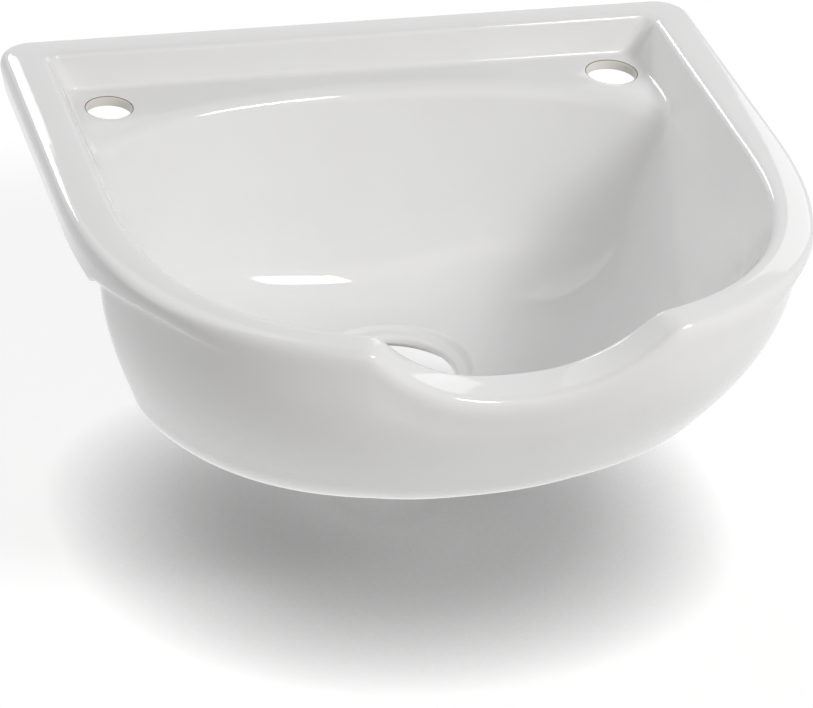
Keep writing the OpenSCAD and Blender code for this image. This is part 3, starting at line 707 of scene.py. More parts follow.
def glazed_china(colours):
    """Vitreous china, slip cast and fired under a white glaze about half a millimetre thick.

    The glaze is glass: it mirrors sharply, pools a little so that its surface waves over some ten
    millimetres, and is a shade duller where it runs thin. Where the piece stood in the kiln, and in
    the drilled holes, the cream body is bare and dull."""
    material, tree, place = new_material("Glazed vitreous china")
    # Waves of the pooled glaze, 14 mm long, and orange peel of about 2.5 mm
    waves = add_node(
        tree, "ShaderNodeTexNoise", {"Vector": place, "Scale": 70, "Detail": 1, "Roughness": 0.4}
    )
    peel = add_node(tree, "ShaderNodeTexNoise", {"Vector": place, "Scale": 400})
    # Cloudy thickness of the glaze, 60 mm wide, and the grain of the bare body, half a millimetre
    cloud = add_node(tree, "ShaderNodeTexNoise", {"Vector": place, "Scale": 16, "Detail": 3})
    grain = add_node(
        tree, "ShaderNodeTexNoise", {"Vector": place, "Scale": 1800, "Detail": 3, "Roughness": 0.7}
    )
    bare = add_node(tree, "ShaderNodeAttribute", attribute_name="bare_china").outputs["Fac"]
    edge = add_node(tree, "ShaderNodeMapRange", {"Value": bare, "From Min": 0.45, "From Max": 0.75})
    depth = add_node(tree, "ShaderNodeMapRange", {"Value": cloud, "From Min": 0.35, "From Max": 0.65})
    thin, thick = rgba(colours.glaze, 0.985, 0.983, 0.982), rgba(colours.glaze)
    glaze = add_node(tree, "ShaderNodeMix", {0: depth, 6: thin, 7: thick}, data_type="RGBA")
    dull, pale = rgba(colours.bisque, 0.92), rgba(colours.bisque)
    body = add_node(tree, "ShaderNodeMix", {0: grain, 6: dull, 7: pale}, data_type="RGBA")
    china = add_node(tree, "ShaderNodeMix", {0: edge, 6: glaze, 7: body}, data_type="RGBA")
    # Where the glaze ends round the holes, a thin dark line is drawn
    half = add_node(tree, "ShaderNodeMath", {0: bare, 1: 0.5, 2: 0.12}, operation="COMPARE")
    glaze_end_line = rgba(linear("#8C837A"))
    shown = add_node(tree, "ShaderNodeMix", {0: half, 6: china, 7: glaze_end_line}, data_type="RGBA")
    gloss = add_node(
        tree,
        "ShaderNodeMapRange",
        {"Value": cloud, "From Min": 0.3, "From Max": 0.7, "To Min": 0.05, "To Max": 0.09},
    )
    rough = add_node(tree, "ShaderNodeMix", {0: edge, 2: gloss, 3: 0.75})
    slow = add_node(tree, "ShaderNodeBump", {"Strength": 0.12, "Distance": 0.00025, "Height": waves})
    fine = add_node(
        tree, "ShaderNodeBump", {"Strength": 0.06, "Distance": 0.00004, "Height": peel, "Normal": slow}
    )
    shader = add_node(
        tree,
        "ShaderNodeBsdfPrincipled",
        {"Base Color": shown, "Roughness": rough, "IOR": 1.52, "Normal": fine},
    )
    add_node(tree, "ShaderNodeOutputMaterial", {"Surface": shader})
    return material


def zinc_sheet(colours):
    """Cold rolled steel sheet, zinc plated and passivated.

    It is a soft silver that blurs what it mirrors. Faint rolling marks run up the sheet, and the
    passivation leaves cloudy patches that lean to straw and to blue."""
    material, tree, place = new_material("Zinc plated steel sheet")
    # Rolling marks, half a millimetre wide on the real sheet and drawn 1.2 mm wide to show
    long_way = add_node(tree, "ShaderNodeMapping", {"Vector": place, "Scale": (1, 1, 0.05)})
    marks = add_node(tree, "ShaderNodeTexNoise", {"Vector": long_way, "Scale": 800, "Detail": 3})
    # Clouds of the passivation, 35 mm across
    cloud = add_node(tree, "ShaderNodeTexNoise", {"Vector": place, "Scale": 28, "Detail": 4})
    spread = add_node(tree, "ShaderNodeMapRange", {"Value": cloud, "From Min": 0.38, "From Max": 0.62})
    straw, blue = rgba(colours.zinc_straw), rgba(colours.zinc_blue)
    tint = add_node(tree, "ShaderNodeMix", {0: spread, 6: straw, 7: blue}, data_type="RGBA")
    dull = add_node(
        tree,
        "ShaderNodeMapRange",
        {"Value": marks, "From Min": 0.3, "From Max": 0.7, "To Min": 0.3, "To Max": 0.46},
    )
    relief = add_node(tree, "ShaderNodeBump", {"Strength": 0.35, "Distance": 0.00003, "Height": marks})
    shader = add_node(
        tree,
        "ShaderNodeBsdfPrincipled",
        {"Base Color": tint, "Metallic": 1.0, "Roughness": dull, "Normal": relief},
    )
    add_node(tree, "ShaderNodeOutputMaterial", {"Surface": shader})
    return material


def bright_zinc(colours):
    """Cold headed fasteners, bright zinc plated in a barrel.

    They mirror more than the sheet does, with small dull spots where they knocked together."""
    material, tree, place = new_material("Bright zinc plated steel")
    # Knocks of the barrel, about 1.5 mm, and the plating's grain, drawn 0.4 mm to show
    knocks = add_node(tree, "ShaderNodeTexVoronoi", {"Vector": place, "Scale": 650})
    grain = add_node(tree, "ShaderNodeTexNoise", {"Vector": place, "Scale": 2500})
    dull = add_node(
        tree,
        "ShaderNodeMapRange",
        {"Value": knocks, "From Min": 0.1, "From Max": 0.7, "To Min": 0.34, "To Max": 0.2},
    )
    dark, light = rgba(colours.bright_zinc, 0.9), rgba(colours.bright_zinc)
    tint = add_node(tree, "ShaderNodeMix", {0: grain, 6: dark, 7: light}, data_type="RGBA")
    relief = add_node(tree, "ShaderNodeBump", {"Strength": 0.3, "Distance": 0.00002, "Height": grain})
    shader = add_node(
        tree,
        "ShaderNodeBsdfPrincipled",
        {"Base Color": tint, "Metallic": 1.0, "Roughness": dull, "Normal": relief},
    )
    add_node(tree, "ShaderNodeOutputMaterial", {"Surface": shader})
    return material


def spring_steel(colours):
    """Stamped spring steel, hardened and oiled: nearly black, with a soft sheen of oil and brown traces."""
    material, tree, place = new_material("Oiled spring steel")
    # Smears of oil, 5 mm across
    oil = add_node(tree, "ShaderNodeTexNoise", {"Vector": place, "Scale": 200, "Detail": 3})
    black, brown = rgba(colours.spring), rgba(colours.spring, 1.3, 1.05, 0.85)
    tint = add_node(tree, "ShaderNodeMix", {0: oil, 6: black, 7: brown}, data_type="RGBA")
    dull = add_node(
        tree,
        "ShaderNodeMapRange",
        {"Value": oil, "From Min": 0.3, "From Max": 0.7, "To Min": 0.25, "To Max": 0.5},
    )
    shader = add_node(
        tree, "ShaderNodeBsdfPrincipled", {"Base Color": tint, "Metallic": 1.0, "Roughness": dull}
    )
    add_node(tree, "ShaderNodeOutputMaterial", {"Surface": shader})
    return material


def turned_brass(colours):
    """Free-cutting brass turned on a lathe.

    It is yellow, with fine tool marks round the axis and a little tarnish."""
    material, tree, place = new_material("Turned brass")
    # Tool marks, 0.15 mm apart on the real sleeve and drawn 0.5 mm apart along its length to show
    round_way = add_node(tree, "ShaderNodeMapping", {"Vector": place, "Scale": (0.02, 0.02, 1)})
    marks = add_node(tree, "ShaderNodeTexNoise", {"Vector": round_way, "Scale": 2000})
    # Tarnish in patches of 4 mm
    tarnish = add_node(tree, "ShaderNodeTexNoise", {"Vector": place, "Scale": 250, "Detail": 3})
    yellow, brown = rgba(colours.brass), rgba(colours.brass, 0.75)
    tint = add_node(tree, "ShaderNodeMix", {0: tarnish, 6: yellow, 7: brown}, data_type="RGBA")
    relief = add_node(tree, "ShaderNodeBump", {"Strength": 0.5, "Distance": 0.00003, "Height": marks})
    dull = add_node(tree, "ShaderNodeMapRange", {"Value": tarnish, "To Min": 0.22, "To Max": 0.4})
    shader = add_node(
        tree,
        "ShaderNodeBsdfPrincipled",
        {"Base Color": tint, "Metallic": 1.0, "Roughness": dull, "Normal": relief},
    )
    add_node(tree, "ShaderNodeOutputMaterial", {"Surface": shader})
    return material


def moulded_rubber(colours):
    """Black nitrile rubber, pressed in a blasted mould: dull, with a fine even grain and a chalky bloom."""
    material, tree, place = new_material("Moulded nitrile rubber")
    # Grain of the mould, 0.3 mm, drawn 0.6 mm to show, and bloom in patches of 8 mm
    grain = add_node(tree, "ShaderNodeTexNoise", {"Vector": place, "Scale": 1700})
    bloom = add_node(tree, "ShaderNodeTexNoise", {"Vector": place, "Scale": 120, "Detail": 3})
    black, chalky = rgba(colours.rubber, 0.7), rgba(colours.rubber, 1.6)
    tint = add_node(tree, "ShaderNodeMix", {0: bloom, 6: black, 7: chalky}, data_type="RGBA")
    relief = add_node(tree, "ShaderNodeBump", {"Strength": 0.6, "Distance": 0.00005, "Height": grain})
    dull = add_node(tree, "ShaderNodeMapRange", {"Value": bloom, "To Min": 0.55, "To Max": 0.8})
    shader = add_node(
        tree,
        "ShaderNodeBsdfPrincipled",
        {"Base Color": tint, "Roughness": dull, "IOR": 1.52, "Normal": relief},
    )
    add_node(tree, "ShaderNodeOutputMaterial", {"Surface": shader})
    return material


def moulded_nylon(colours):
    """Natural nylon, injection moulded.

    It is milky and lets some light in, and its satin skin is faintly uneven."""
    material, tree, place = new_material("Moulded natural nylon")
    # Flow lines of the melt, 3 mm across
    flow = add_node(tree, "ShaderNodeTexNoise", {"Vector": place, "Scale": 330})
    dark, light = rgba(colours.nylon, 0.93), rgba(colours.nylon)
    tint = add_node(tree, "ShaderNodeMix", {0: flow, 6: dark, 7: light}, data_type="RGBA")
    dull = add_node(tree, "ShaderNodeMapRange", {"Value": flow, "To Min": 0.32, "To Max": 0.45})
    milky = {"Subsurface Weight": 0.2, "Subsurface Scale": 0.001}
    shader = add_node(
        tree, "ShaderNodeBsdfPrincipled", {"Base Color": tint, "Roughness": dull, "IOR": 1.53, **milky}
    )
    add_node(tree, "ShaderNodeOutputMaterial", {"Surface": shader})
    return material


def pressed_fibre(colours):
    """Friction fibre, pressed and cured: matt brown with pale fibres and dark resin."""
    material, tree, place = new_material("Pressed friction fibre")
    # Fibres about 0.3 mm thick and 2 mm long, drawn 0.6 mm thick to show
    long_way = add_node(tree, "ShaderNodeMapping", {"Vector": place, "Scale": (1, 0.3, 1)})
    fibres = add_node(tree, "ShaderNodeTexNoise", {"Vector": long_way, "Scale": 1600, "Detail": 3})
    shown = add_node(tree, "ShaderNodeMapRange", {"Value": fibres, "From Min": 0.4, "From Max": 0.65})
    resin, fibre = rgba(colours.fibre, 0.5), rgba(colours.fibre, 1.35)
    tint = add_node(tree, "ShaderNodeMix", {0: shown, 6: resin, 7: fibre}, data_type="RGBA")
    relief = add_node(tree, "ShaderNodeBump", {"Strength": 0.6, "Distance": 0.00008, "Height": fibres})
    shader = add_node(
        tree,
        "ShaderNodeBsdfPrincipled",
        {"Base Color": tint, "Roughness": 0.82, "IOR": 1.5, "Normal": relief},
    )
    add_node(tree, "ShaderNodeOutputMaterial", {"Surface": shader})
    return material


def start_tree(name, sizes):
    """A node group that takes places, sizes and a finish, and the sockets of what it is given."""
    tree = bpy.data.node_groups.new(name, "GeometryNodeTree")
    tree.interface.new_socket("Places", in_out="INPUT", socket_type="NodeSocketGeometry")
    for label in sizes:
        tree.interface.new_socket(label, in_out="INPUT", socket_type="NodeSocketFloat").subtype = "DISTANCE"
    tree.interface.new_socket("Finish", in_out="INPUT", socket_type="NodeSocketMaterial")
    tree.interface.new_socket("Pieces", in_out="OUTPUT", socket_type="NodeSocketGeometry")
    return tree, add_node(tree, "NodeGroupInput").outputs


def end_tree(tree, given, piece):
    """Lays the piece on every place, along its aim, and gives it its finish."""
    aim = add_node(tree, "GeometryNodeInputNamedAttribute", {"Name": "aim"}, data_type="FLOAT_VECTOR")
    turn = add_node(tree, "FunctionNodeAlignRotationToVector", {"Vector": aim}, axis="Z")
    laid = add_node(
        tree,
        "GeometryNodeInstanceOnPoints",
        {"Points": given["Places"], "Instance": piece, "Rotation": turn},
    )
    real = add_node(tree, "GeometryNodeRealizeInstances", {"Geometry": laid})
    done = add_node(tree, "GeometryNodeSetMaterial", {"Geometry": real, "Material": given["Finish"]})
    add_node(tree, "NodeGroupOutput", {"Pieces": done})
    return tree


def raised(tree, piece, height):
    """The piece, moved along Z."""
    shift = add_node(tree, "ShaderNodeCombineXYZ", {"Z": height})
    return add_node(tree, "GeometryNodeTransform", {"Geometry": piece, "Translation": shift})


def hexagon(tree, flats, height):
    """A hexagon prism, and the cone that turns its lower face at 30 degrees."""
    corner = add_node(tree, "ShaderNodeMath", {0: flats, 1: 1 / math.sqrt(3)}, operation="MULTIPLY")
    prism = add_node(
        tree, "GeometryNodeMeshCylinder", {"Vertices": 6, "Radius": corner, "Depth": height}
    )
    # The turned face is a circle just inside the flats
    face = add_node(tree, "ShaderNodeMath", {0: flats, 1: 0.475}, operation="MULTIPLY")
    wide = add_node(
        tree, "ShaderNodeMath", {0: height, 1: math.sqrt(3), 2: face}, operation="MULTIPLY_ADD"
    )
    cone = add_node(
        tree,
        "GeometryNodeMeshCone",
        {"Vertices": 72, "Radius Top": wide, "Radius Bottom": face, "Depth": height},
    )
    return prism, cone


def ring_tree():
    """Turned rings with rounded edges, flat or coned: washers, discs, springs, collars and inserts."""
    sizes = ("Outer Radius", "Bore Radius", "Thickness", "Cone", "Edge")
    tree, given = start_tree("turned_rings", sizes)
    outer, bore, thickness, cone, edge = [given[name] for name in sizes]
    wall = add_node(tree, "ShaderNodeMath", {0: outer, 1: bore}, operation="SUBTRACT")
    middle = add_node(tree, "ShaderNodeMath", {0: wall, 1: 0.5, 2: bore}, operation="MULTIPLY_ADD")
    section = add_node(
        tree, "GeometryNodeCurvePrimitiveQuadrilateral", {"Width": wall, "Height": thickness}
    )
    eased = add_node(
        tree,
        "GeometryNodeFilletCurve",
        {"Curve": section, "Count": 3, "Radius": edge, "Limit Radius": True},
        mode="POLY",
    )
    path = add_node(tree, "GeometryNodeCurvePrimitiveCircle", {"Resolution": 72, "Radius": middle})
    level = add_node(tree, "GeometryNodeSetCurveNormal", {"Curve": path}, mode="Z_UP")
    ring = add_node(tree, "GeometryNodeCurveToMesh", {"Curve": level, "Profile Curve": eased})
    place = add_node(tree, "GeometryNodeInputPosition")
    flat = add_node(tree, "ShaderNodeVectorMath", {0: place, 1: (1, 1, 0)}, operation="MULTIPLY")
    reach = add_node(tree, "ShaderNodeVectorMath", {0: flat}, operation="LENGTH")
    rise = add_node(
        tree,
        "ShaderNodeMapRange",
        {"Value": reach, "From Min": bore, "From Max": outer, "To Max": cone},
    )
    height = add_node(tree, "ShaderNodeMath", {0: thickness, 1: 0.5, 2: rise}, operation="MULTIPLY_ADD")
    shift = add_node(tree, "ShaderNodeCombineXYZ", {"Z": height})
    set_up = add_node(tree, "GeometryNodeSetPosition", {"Geometry": ring, "Offset": shift})
    return end_tree(tree, given, set_up)


def bolt_tree():
    """Hexagon bolts: a chamfered head below, a plain shank and a rolled thread above."""
    sizes = ("Flats", "Head Height", "Shank Radius", "Shank Length", "Thread Length", "Pitch")
    tree, given = start_tree("hexagon_bolts", sizes)
    flats, head_height, radius, plain, rolled, pitch = [given[name] for name in sizes]
    prism, cone = hexagon(tree, flats, head_height)
    # The manifold solver cuts the same triangles in each run, which the exact one doesn't
    half_down = add_node(tree, "ShaderNodeMath", {0: head_height, 1: -0.5}, operation="MULTIPLY")
    down = add_node(tree, "ShaderNodeMath", {0: head_height, 1: -1.0}, operation="MULTIPLY")
    head = add_node(
        tree,
        "GeometryNodeMeshBoolean",
        {"Mesh 2": [raised(tree, prism, half_down), raised(tree, cone, down)]},
        operation="INTERSECT",
        solver="MANIFOLD",
    )
    shank = add_node(
        tree,
        "GeometryNodeMeshCone",
        {"Vertices": 72, "Radius Top": radius, "Radius Bottom": radius, "Depth": plain},
    )
    # The thread's ridge is half a pitch thick, round its core
    core = add_node(tree, "ShaderNodeMath", {0: pitch, 1: -0.5, 2: radius}, operation="MULTIPLY_ADD")
    stem = add_node(
        tree,
        "GeometryNodeMeshCone",
        {"Vertices": 48, "Radius Top": core, "Radius Bottom": core, "Depth": rolled},
    )
    run = add_node(tree, "ShaderNodeMath", {0: pitch, 1: -1.5, 2: rolled}, operation="MULTIPLY_ADD")
    turns = add_node(tree, "ShaderNodeMath", {0: run, 1: pitch}, operation="DIVIDE")
    helix = add_node(
        tree,
        "GeometryNodeCurveSpiral",
        {"Resolution": 40, "Rotations": turns, "Start Radius": core, "End Radius": core, "Height": run},
    )
    ridge = add_node(tree, "ShaderNodeMath", {0: pitch, 1: 0.49}, operation="MULTIPLY")
    crest = add_node(tree, "GeometryNodeCurvePrimitiveCircle", {"Resolution": 6, "Radius": ridge})
    thread = add_node(
        tree, "GeometryNodeCurveToMesh", {"Curve": helix, "Profile Curve": crest, "Fill Caps": True}
    )
    lift = add_node(tree, "ShaderNodeMath", {0: pitch, 1: 0.5, 2: plain}, operation="MULTIPLY_ADD")
    pieces = [head, shank, raised(tree, stem, plain), raised(tree, thread, lift)]
    return end_tree(tree, given, add_node(tree, "GeometryNodeJoinGeometry", {"Geometry": pieces}))


def nut_tree():
    """Hexagon nuts, chamfered on both faces and bored."""
    tree, given = start_tree("hexagon_nuts", ("Flats", "Height", "Bore Radius"))
    height = given["Height"]
    prism, cone = hexagon(tree, given["Flats"], height)
    half_down = add_node(tree, "ShaderNodeMath", {0: height, 1: -0.5}, operation="MULTIPLY")
    cone = raised(tree, cone, half_down)
    turned = add_node(tree, "GeometryNodeTransform", {"Geometry": cone, "Rotation": (math.pi, 0, 0)})
    eased = add_node(
        tree,
        "GeometryNodeMeshBoolean",
        {"Mesh 2": [prism, cone, turned]},
        operation="INTERSECT",
        solver="MANIFOLD",
    )
    deep = add_node(tree, "ShaderNodeMath", {0: height, 1: 2.0}, operation="MULTIPLY")
    drill = add_node(
        tree, "GeometryNodeMeshCylinder", {"Vertices": 72, "Radius": given["Bore Radius"], "Depth": deep}
    )
    bored = add_node(
        tree,
        "GeometryNodeMeshBoolean",
        {"Mesh 1": eased, "Mesh 2": drill},
        operation="DIFFERENCE",
        solver="MANIFOLD",
    )
    half_up = add_node(tree, "ShaderNodeMath", {0: height, 1: 0.5}, operation="MULTIPLY")
    return end_tree(tree, given, raised(tree, bored, half_up))


def applied(raw):
    """The mesh that an object has under its modifier. The object itself goes."""
    graph = bpy.context.evaluated_depsgraph_get()
    made = bpy.data.meshes.new_from_object(raw.evaluated_get(graph), depsgraph=graph)
    bpy.data.objects.remove(raw)
    return made


def grown(name, tree, places, sizes, material):
    """The tree's pieces on their places, as one plain mesh.

    A place is a point and the way it aims, and the sizes stand in the order of the tree's inputs."""
    data = bpy.data.meshes.new(name + "_places")
    data.from_pydata([point for point, _ in places], [], [])
    aims = data.attributes.new("aim", "FLOAT_VECTOR", "POINT")
    for k, (_, aim) in enumerate(places):
        aims.data[k].vector = aim
    seed = linked(name + "_places", data)
    grow = seed.modifiers.new("grow", "NODES")
    grow.node_group = tree
    inputs = [item for item in tree.interface.items_tree if item.in_out == "INPUT"]
    for item, value in zip(inputs[1:], (*sizes, material)):
        grow[item.identifier] = value
    made = applied(seed)
    if not made.polygons:
        raise RuntimeError(f"{name} came out empty")
    mesh = bmesh.new()
    mesh.from_mesh(made)
    bmesh.ops.recalc_face_normals(mesh, faces=mesh.faces)
    mesh.to_mesh(made)
    mesh.free()
    made.name = name
    return linked(name, smoothed(made))


def eased_copy(name, nodes, material, edge):
    """A merged copy of CAD nodes with the small round edges that the real pieces have."""
    mesh = bmesh.new()
    for node in nodes:
        mesh.from_mesh(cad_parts[node].data)
    bmesh.ops.remove_doubles(mesh, verts=mesh.verts, dist=1e-6)
    bmesh.ops.dissolve_limit(mesh, angle_limit=math.radians(0.5), verts=mesh.verts, edges=mesh.edges)
    data = bpy.data.meshes.new(name)
    mesh.to_mesh(data)
    mesh.free()
    data.materials.clear()
    data.materials.append(material)
    raw = linked(name + "_raw", data)
    round_off = raw.modifiers.new("round_off", "BEVEL")
    round_off.width = edge
    round_off.segments = 3
    round_off.limit_method = "ANGLE"
    round_off.angle_limit = math.radians(35)
    made = applied(raw)
    made.name = name
    return linked(name, smoothed(made))


def fit(piece, body, finish, *nodes):
    """Hands a finished piece to its body and hides the CAD nodes that it stands for. The finish is not used.
    """
    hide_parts(*nodes)
    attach(piece, body)


def on_pivot(size, x, way=1):
    """The two places on the pivot's axis, right and left. They aim outward, or inward where way is -1."""
    y, z = -size.basin_fasteners.pivot_setback, size.basin_fasteners.pivot_height
    return [(Vector((side * x, y, z)), (side * way, 0, 0)) for side in (1, -1)]


def under_lugs(size, z):
    """The four places on the carrier bolts' axes at a height over the bracket's middle, aiming up."""
    lug, gap = size.basin_lugs, size.basin_placing.wall_gap
    y = -gap - lug.setback - lug.depth / 2
    points = [(i * lug.gap / 2, y + j * lug.bolt_gap / 2, z) for i in (-1, 1) for j in (-1, 1)]
    return [(Vector(point), (0, 0, 1)) for point in points]


def studio_floor(colours):
    """Matt white laminate. It spreads the light and keeps the basin's shadow, with a painted shadow added
    under the belly.

    The camera sees it brighter than it lights, so that it runs into the white beyond, and reflections in
    glaze and metal show it as white."""
    material, tree, place = new_material("Matt white laminate")
    material.cycles.emission_sampling = "NONE"
    path = add_node(tree, "ShaderNodeLightPath").outputs
    rays = {0: path["Is Glossy Ray"], 1: path["Is Transmission Ray"]}
    mirrored = add_node(tree, "ShaderNodeMath", rays, operation="MAXIMUM")
    spread = add_node(tree, "ShaderNodeBsdfDiffuse", {"Color": rgba(colours.floor)})
    white = add_node(tree, "ShaderNodeEmission")
    unseen = add_node(tree, "ShaderNodeMixShader", {0: mirrored, 1: spread, 2: white})
    # Painted shadow under the belly: where the piece is within 0.13 m of the floor, ambient occlusion
    # darkens the floor's colour and its glow
    close = add_node(tree, "ShaderNodeAmbientOcclusion", {"Distance": 0.13}, samples=16).outputs["AO"]
    painted_shadow = add_node(tree, "ShaderNodeMath", {0: close, 1: 2.0}, operation="POWER")
    shade = add_node(tree, "ShaderNodeMath", {0: painted_shadow, 1: 0.6}, operation="MULTIPLY")
    glow = add_node(tree, "ShaderNodeMath", {0: painted_shadow, 1: 0.58}, operation="MULTIPLY")
    sheet = add_node(tree, "ShaderNodeBsdfDiffuse", {"Color": shade})
    lift = add_node(tree, "ShaderNodeEmission", {"Strength": glow})
    lit = add_node(tree, "ShaderNodeAddShader", {0: sheet, 1: lift})
    # Beyond the basin's shadow the floor runs into the white behind it
    below = (MIDDLE.x, MIDDLE.y, FLOOR_LEVEL)
    away = add_node(tree, "ShaderNodeVectorMath", {0: place, 1: below}, operation="DISTANCE")
    fade = add_node(
        tree,
        "ShaderNodeMapRange",
        {"Value": away, "From Min": 0.45, "From Max": 1.3},
        interpolation_type="SMOOTHSTEP",
    )
    seen = add_node(tree, "ShaderNodeMixShader", {0: fade, 1: lit, 2: white})
    shown = add_node(tree, "ShaderNodeMixShader", {0: path["Is Camera Ray"], 1: unseen, 2: seen})
    # From below the sheet is clear, so that the underside of the basin can be looked at
    back = add_node(tree, "ShaderNodeNewGeometry").outputs["Backfacing"]
    under = add_node(tree, "ShaderNodeMath", {0: path["Is Camera Ray"], 1: back}, operation="MULTIPLY")
    clear = add_node(tree, "ShaderNodeBsdfTransparent")
    whole = add_node(tree, "ShaderNodeMixShader", {0: under, 1: shown, 2: clear})
    add_node(tree, "ShaderNodeOutputMaterial", {"Surface": whole})
    return material


def area_lamp(name, power, size, place, tint):
    """A rectangular soft box at a place, turned to the basin's middle."""
    lamp = bpy.data.lights.new(name, "AREA")
    lamp.energy = power
    lamp.shape = "RECTANGLE"
    lamp.size, lamp.size_y = size
    lamp.color = linear(tint)
    box = linked(name, lamp)
    box.visible_camera = False
    box.location = place
    box.rotation_euler = (MIDDLE - Vector(place)).to_track_quat("-Z", "Y").to_euler()


def white_surroundings():
    """A world that lights softly, and that the camera, glaze and metal see as white."""
    world = bpy.data.worlds.new("white_surroundings")
    world.use_nodes = True
    tree = world.node_tree
    tree.nodes.clear()
    path = add_node(tree, "ShaderNodeLightPath").outputs
    rays = {0: path["Is Camera Ray"], 1: path["Is Transmission Ray"]}
    seen = add_node(tree, "ShaderNodeMath", rays, operation="MAXIMUM")
    white = add_node(tree, "ShaderNodeMath", {0: seen, 1: path["Is Glossy Ray"]}, operation="MAXIMUM")
    strength = add_node(tree, "ShaderNodeMix", {0: white, 2: WORLD_LIGHT, 3: 1.0})
    light = add_node(tree, "ShaderNodeBackground", {"Color": (1, 1, 1, 1), "Strength": strength})
    add_node(tree, "ShaderNodeOutputWorld", {"Surface": light})
    return world


class BASIN_OT_casting(bpy.types.Operator):
    """Builds the glazed china casting in place of the plain solid"""

    bl_idname = "basin.casting"
    bl_label = "China Casting"

    def execute(self, context):
        piece = cast_basin(context.scene)
        piece.data.materials.append(glazed_china(context.scene.basin_colours))
        fit(piece, "basin_side", "white_china", "basin_body")
        return {"FINISHED"}


class BASIN_OT_brackets(bpy.types.Operator):
    """Builds the zinc plated wall bracket and tilt carrier with their broken edges"""

    bl_idname = "basin.brackets"
    bl_label = "Wall Bracket and Tilt Carrier"

    def execute(self, context):
        zinc = zinc_sheet(context.scene.basin_colours)
        for name, node, body in (
            ("bracket_sheet", "wall_bracket", "wall_side"),
            ("carrier_sheet", "tilt_carrier", "basin_side"),
        ):
            fit(eased_copy(name, [node], zinc, edge=0.0005), body, "zinc_steel", node)
        return {"FINISHED"}


class BASIN_OT_lug_fittings(bpy.types.Operator):
    """Builds the rubber pads and the brass sleeves of the lugs"""

    bl_idname = "basin.lug_fittings"
    bl_label = "Lug Pads and Sleeves"

    def execute(self, context):
        colours = context.scene.basin_colours
        pads = eased_copy("rubber_pads", ["lug_pads"], moulded_rubber(colours), edge=0.0006)
        fit(pads, "basin_side", "pad_rubber", "lug_pads")
        sleeves = eased_copy("brass_sleeves", ["lug_sleeves"], turned_brass(colours), edge=0.0004)
        fit(sleeves, "basin_side", "sleeve_brass", "lug_sleeves")
        return {"FINISHED"}


class BASIN_OT_carrier_bolts(bpy.types.Operator):
    """Builds the four bolts and washers that hold the casting on its carrier"""

    bl_idname = "basin.carrier_bolts"
    bl_label = "Carrier Bolts"

    def execute(self, context):
        scene = context.scene
        kit = scene.basin_fasteners
        zinc = bright_zinc(scene.basin_colours)
        places = under_lugs(scene, kit.carrier_under - kit.bolt_washer_thickness)
        plain = 0.004
        rolled = kit.bolt_length - plain
        sizes = (kit.bolt_flats, kit.bolt_head, kit.bolt_radius, plain, rolled, kit.bolt_pitch)
        bolts = grown("lug_bolts", bolt_tree(), places, sizes, zinc)
        fit(bolts, "basin_side", "bolt_steel", "carrier_bolts")
        sizes = (kit.bolt_washer, kit.bolt_radius + kit.play, kit.bolt_washer_thickness, 0.0, 0.00035)
        washers = grown("lug_bolt_washers", ring_tree(), places, sizes, zinc)
        fit(washers, "basin_side", "bolt_steel", "carrier_washers")
        return {"FINISHED"}


class BASIN_OT_pivot(bpy.types.Operator):
    """Builds the pivot's bushes, friction discs, washers, coned springs and stop pins"""

    bl_idname = "basin.pivot"
    bl_label = "Pivot Stack"

    def execute(self, context):
        scene = context.scene
        kit, colours = scene.basin_fasteners, scene.basin_colours
        rings, zinc = ring_tree(), bright_zinc(colours)
        bore = kit.pivot_radius + kit.play
        # Outer radius, bore, thickness, cone and rounded edge of each kind of ring
        washer = (kit.washer_radius, bore, kit.washer_thickness, 0.0, 0.0004)
        disc = (kit.disc_radius, bore, kit.disc_thickness, 0.0, 0.0002)
        spring = (kit.spring_radius, bore, kit.spring_sheet, kit.spring_cone, 0.0002)
        # The coned washers stand face to face, hollow sides inward
        inner = on_pivot(scene, kit.cheek_at + kit.washer_thickness)
        outer = on_pivot(scene, kit.nut_at, way=-1)
        pairs = [place for pair in zip(inner, outer) for place in pair]
        fibre, dark = pressed_fibre(colours), spring_steel(colours)
        for name, node, places, sizes, material, finish in (
            ("head_washers", "head_washer", on_pivot(scene, kit.head_at), washer, zinc, "bolt_steel"),
            ("nut_washers", "nut_washer", on_pivot(scene, kit.cheek_at), washer, zinc, "bolt_steel"),
            ("friction_discs", "friction_disc", on_pivot(scene, kit.ear_at), disc, fibre, "friction_fibre"),
            ("coned_springs", "disc_springs", pairs, spring, dark, "spring_steel"),
        ):
            piece = grown(name, rings, places, sizes, material)
            fit(piece, "basin_side", finish, node + "_left", node + "_right")
        for side in ("left", "right"):
            nylon = moulded_nylon(colours)
            bush = eased_copy(f"nylon_bush_{side}", [f"pivot_bush_{side}"], nylon, edge=0.0003)
            fit(bush, "wall_side", "bush_nylon", f"pivot_bush_{side}")
            pin = eased_copy(f"steel_pin_{side}", [f"stop_pin_{side}"], zinc, edge=0.0008)
            fit(pin, "basin_side", "bolt_steel", f"stop_pin_{side}")
        return {"FINISHED"}


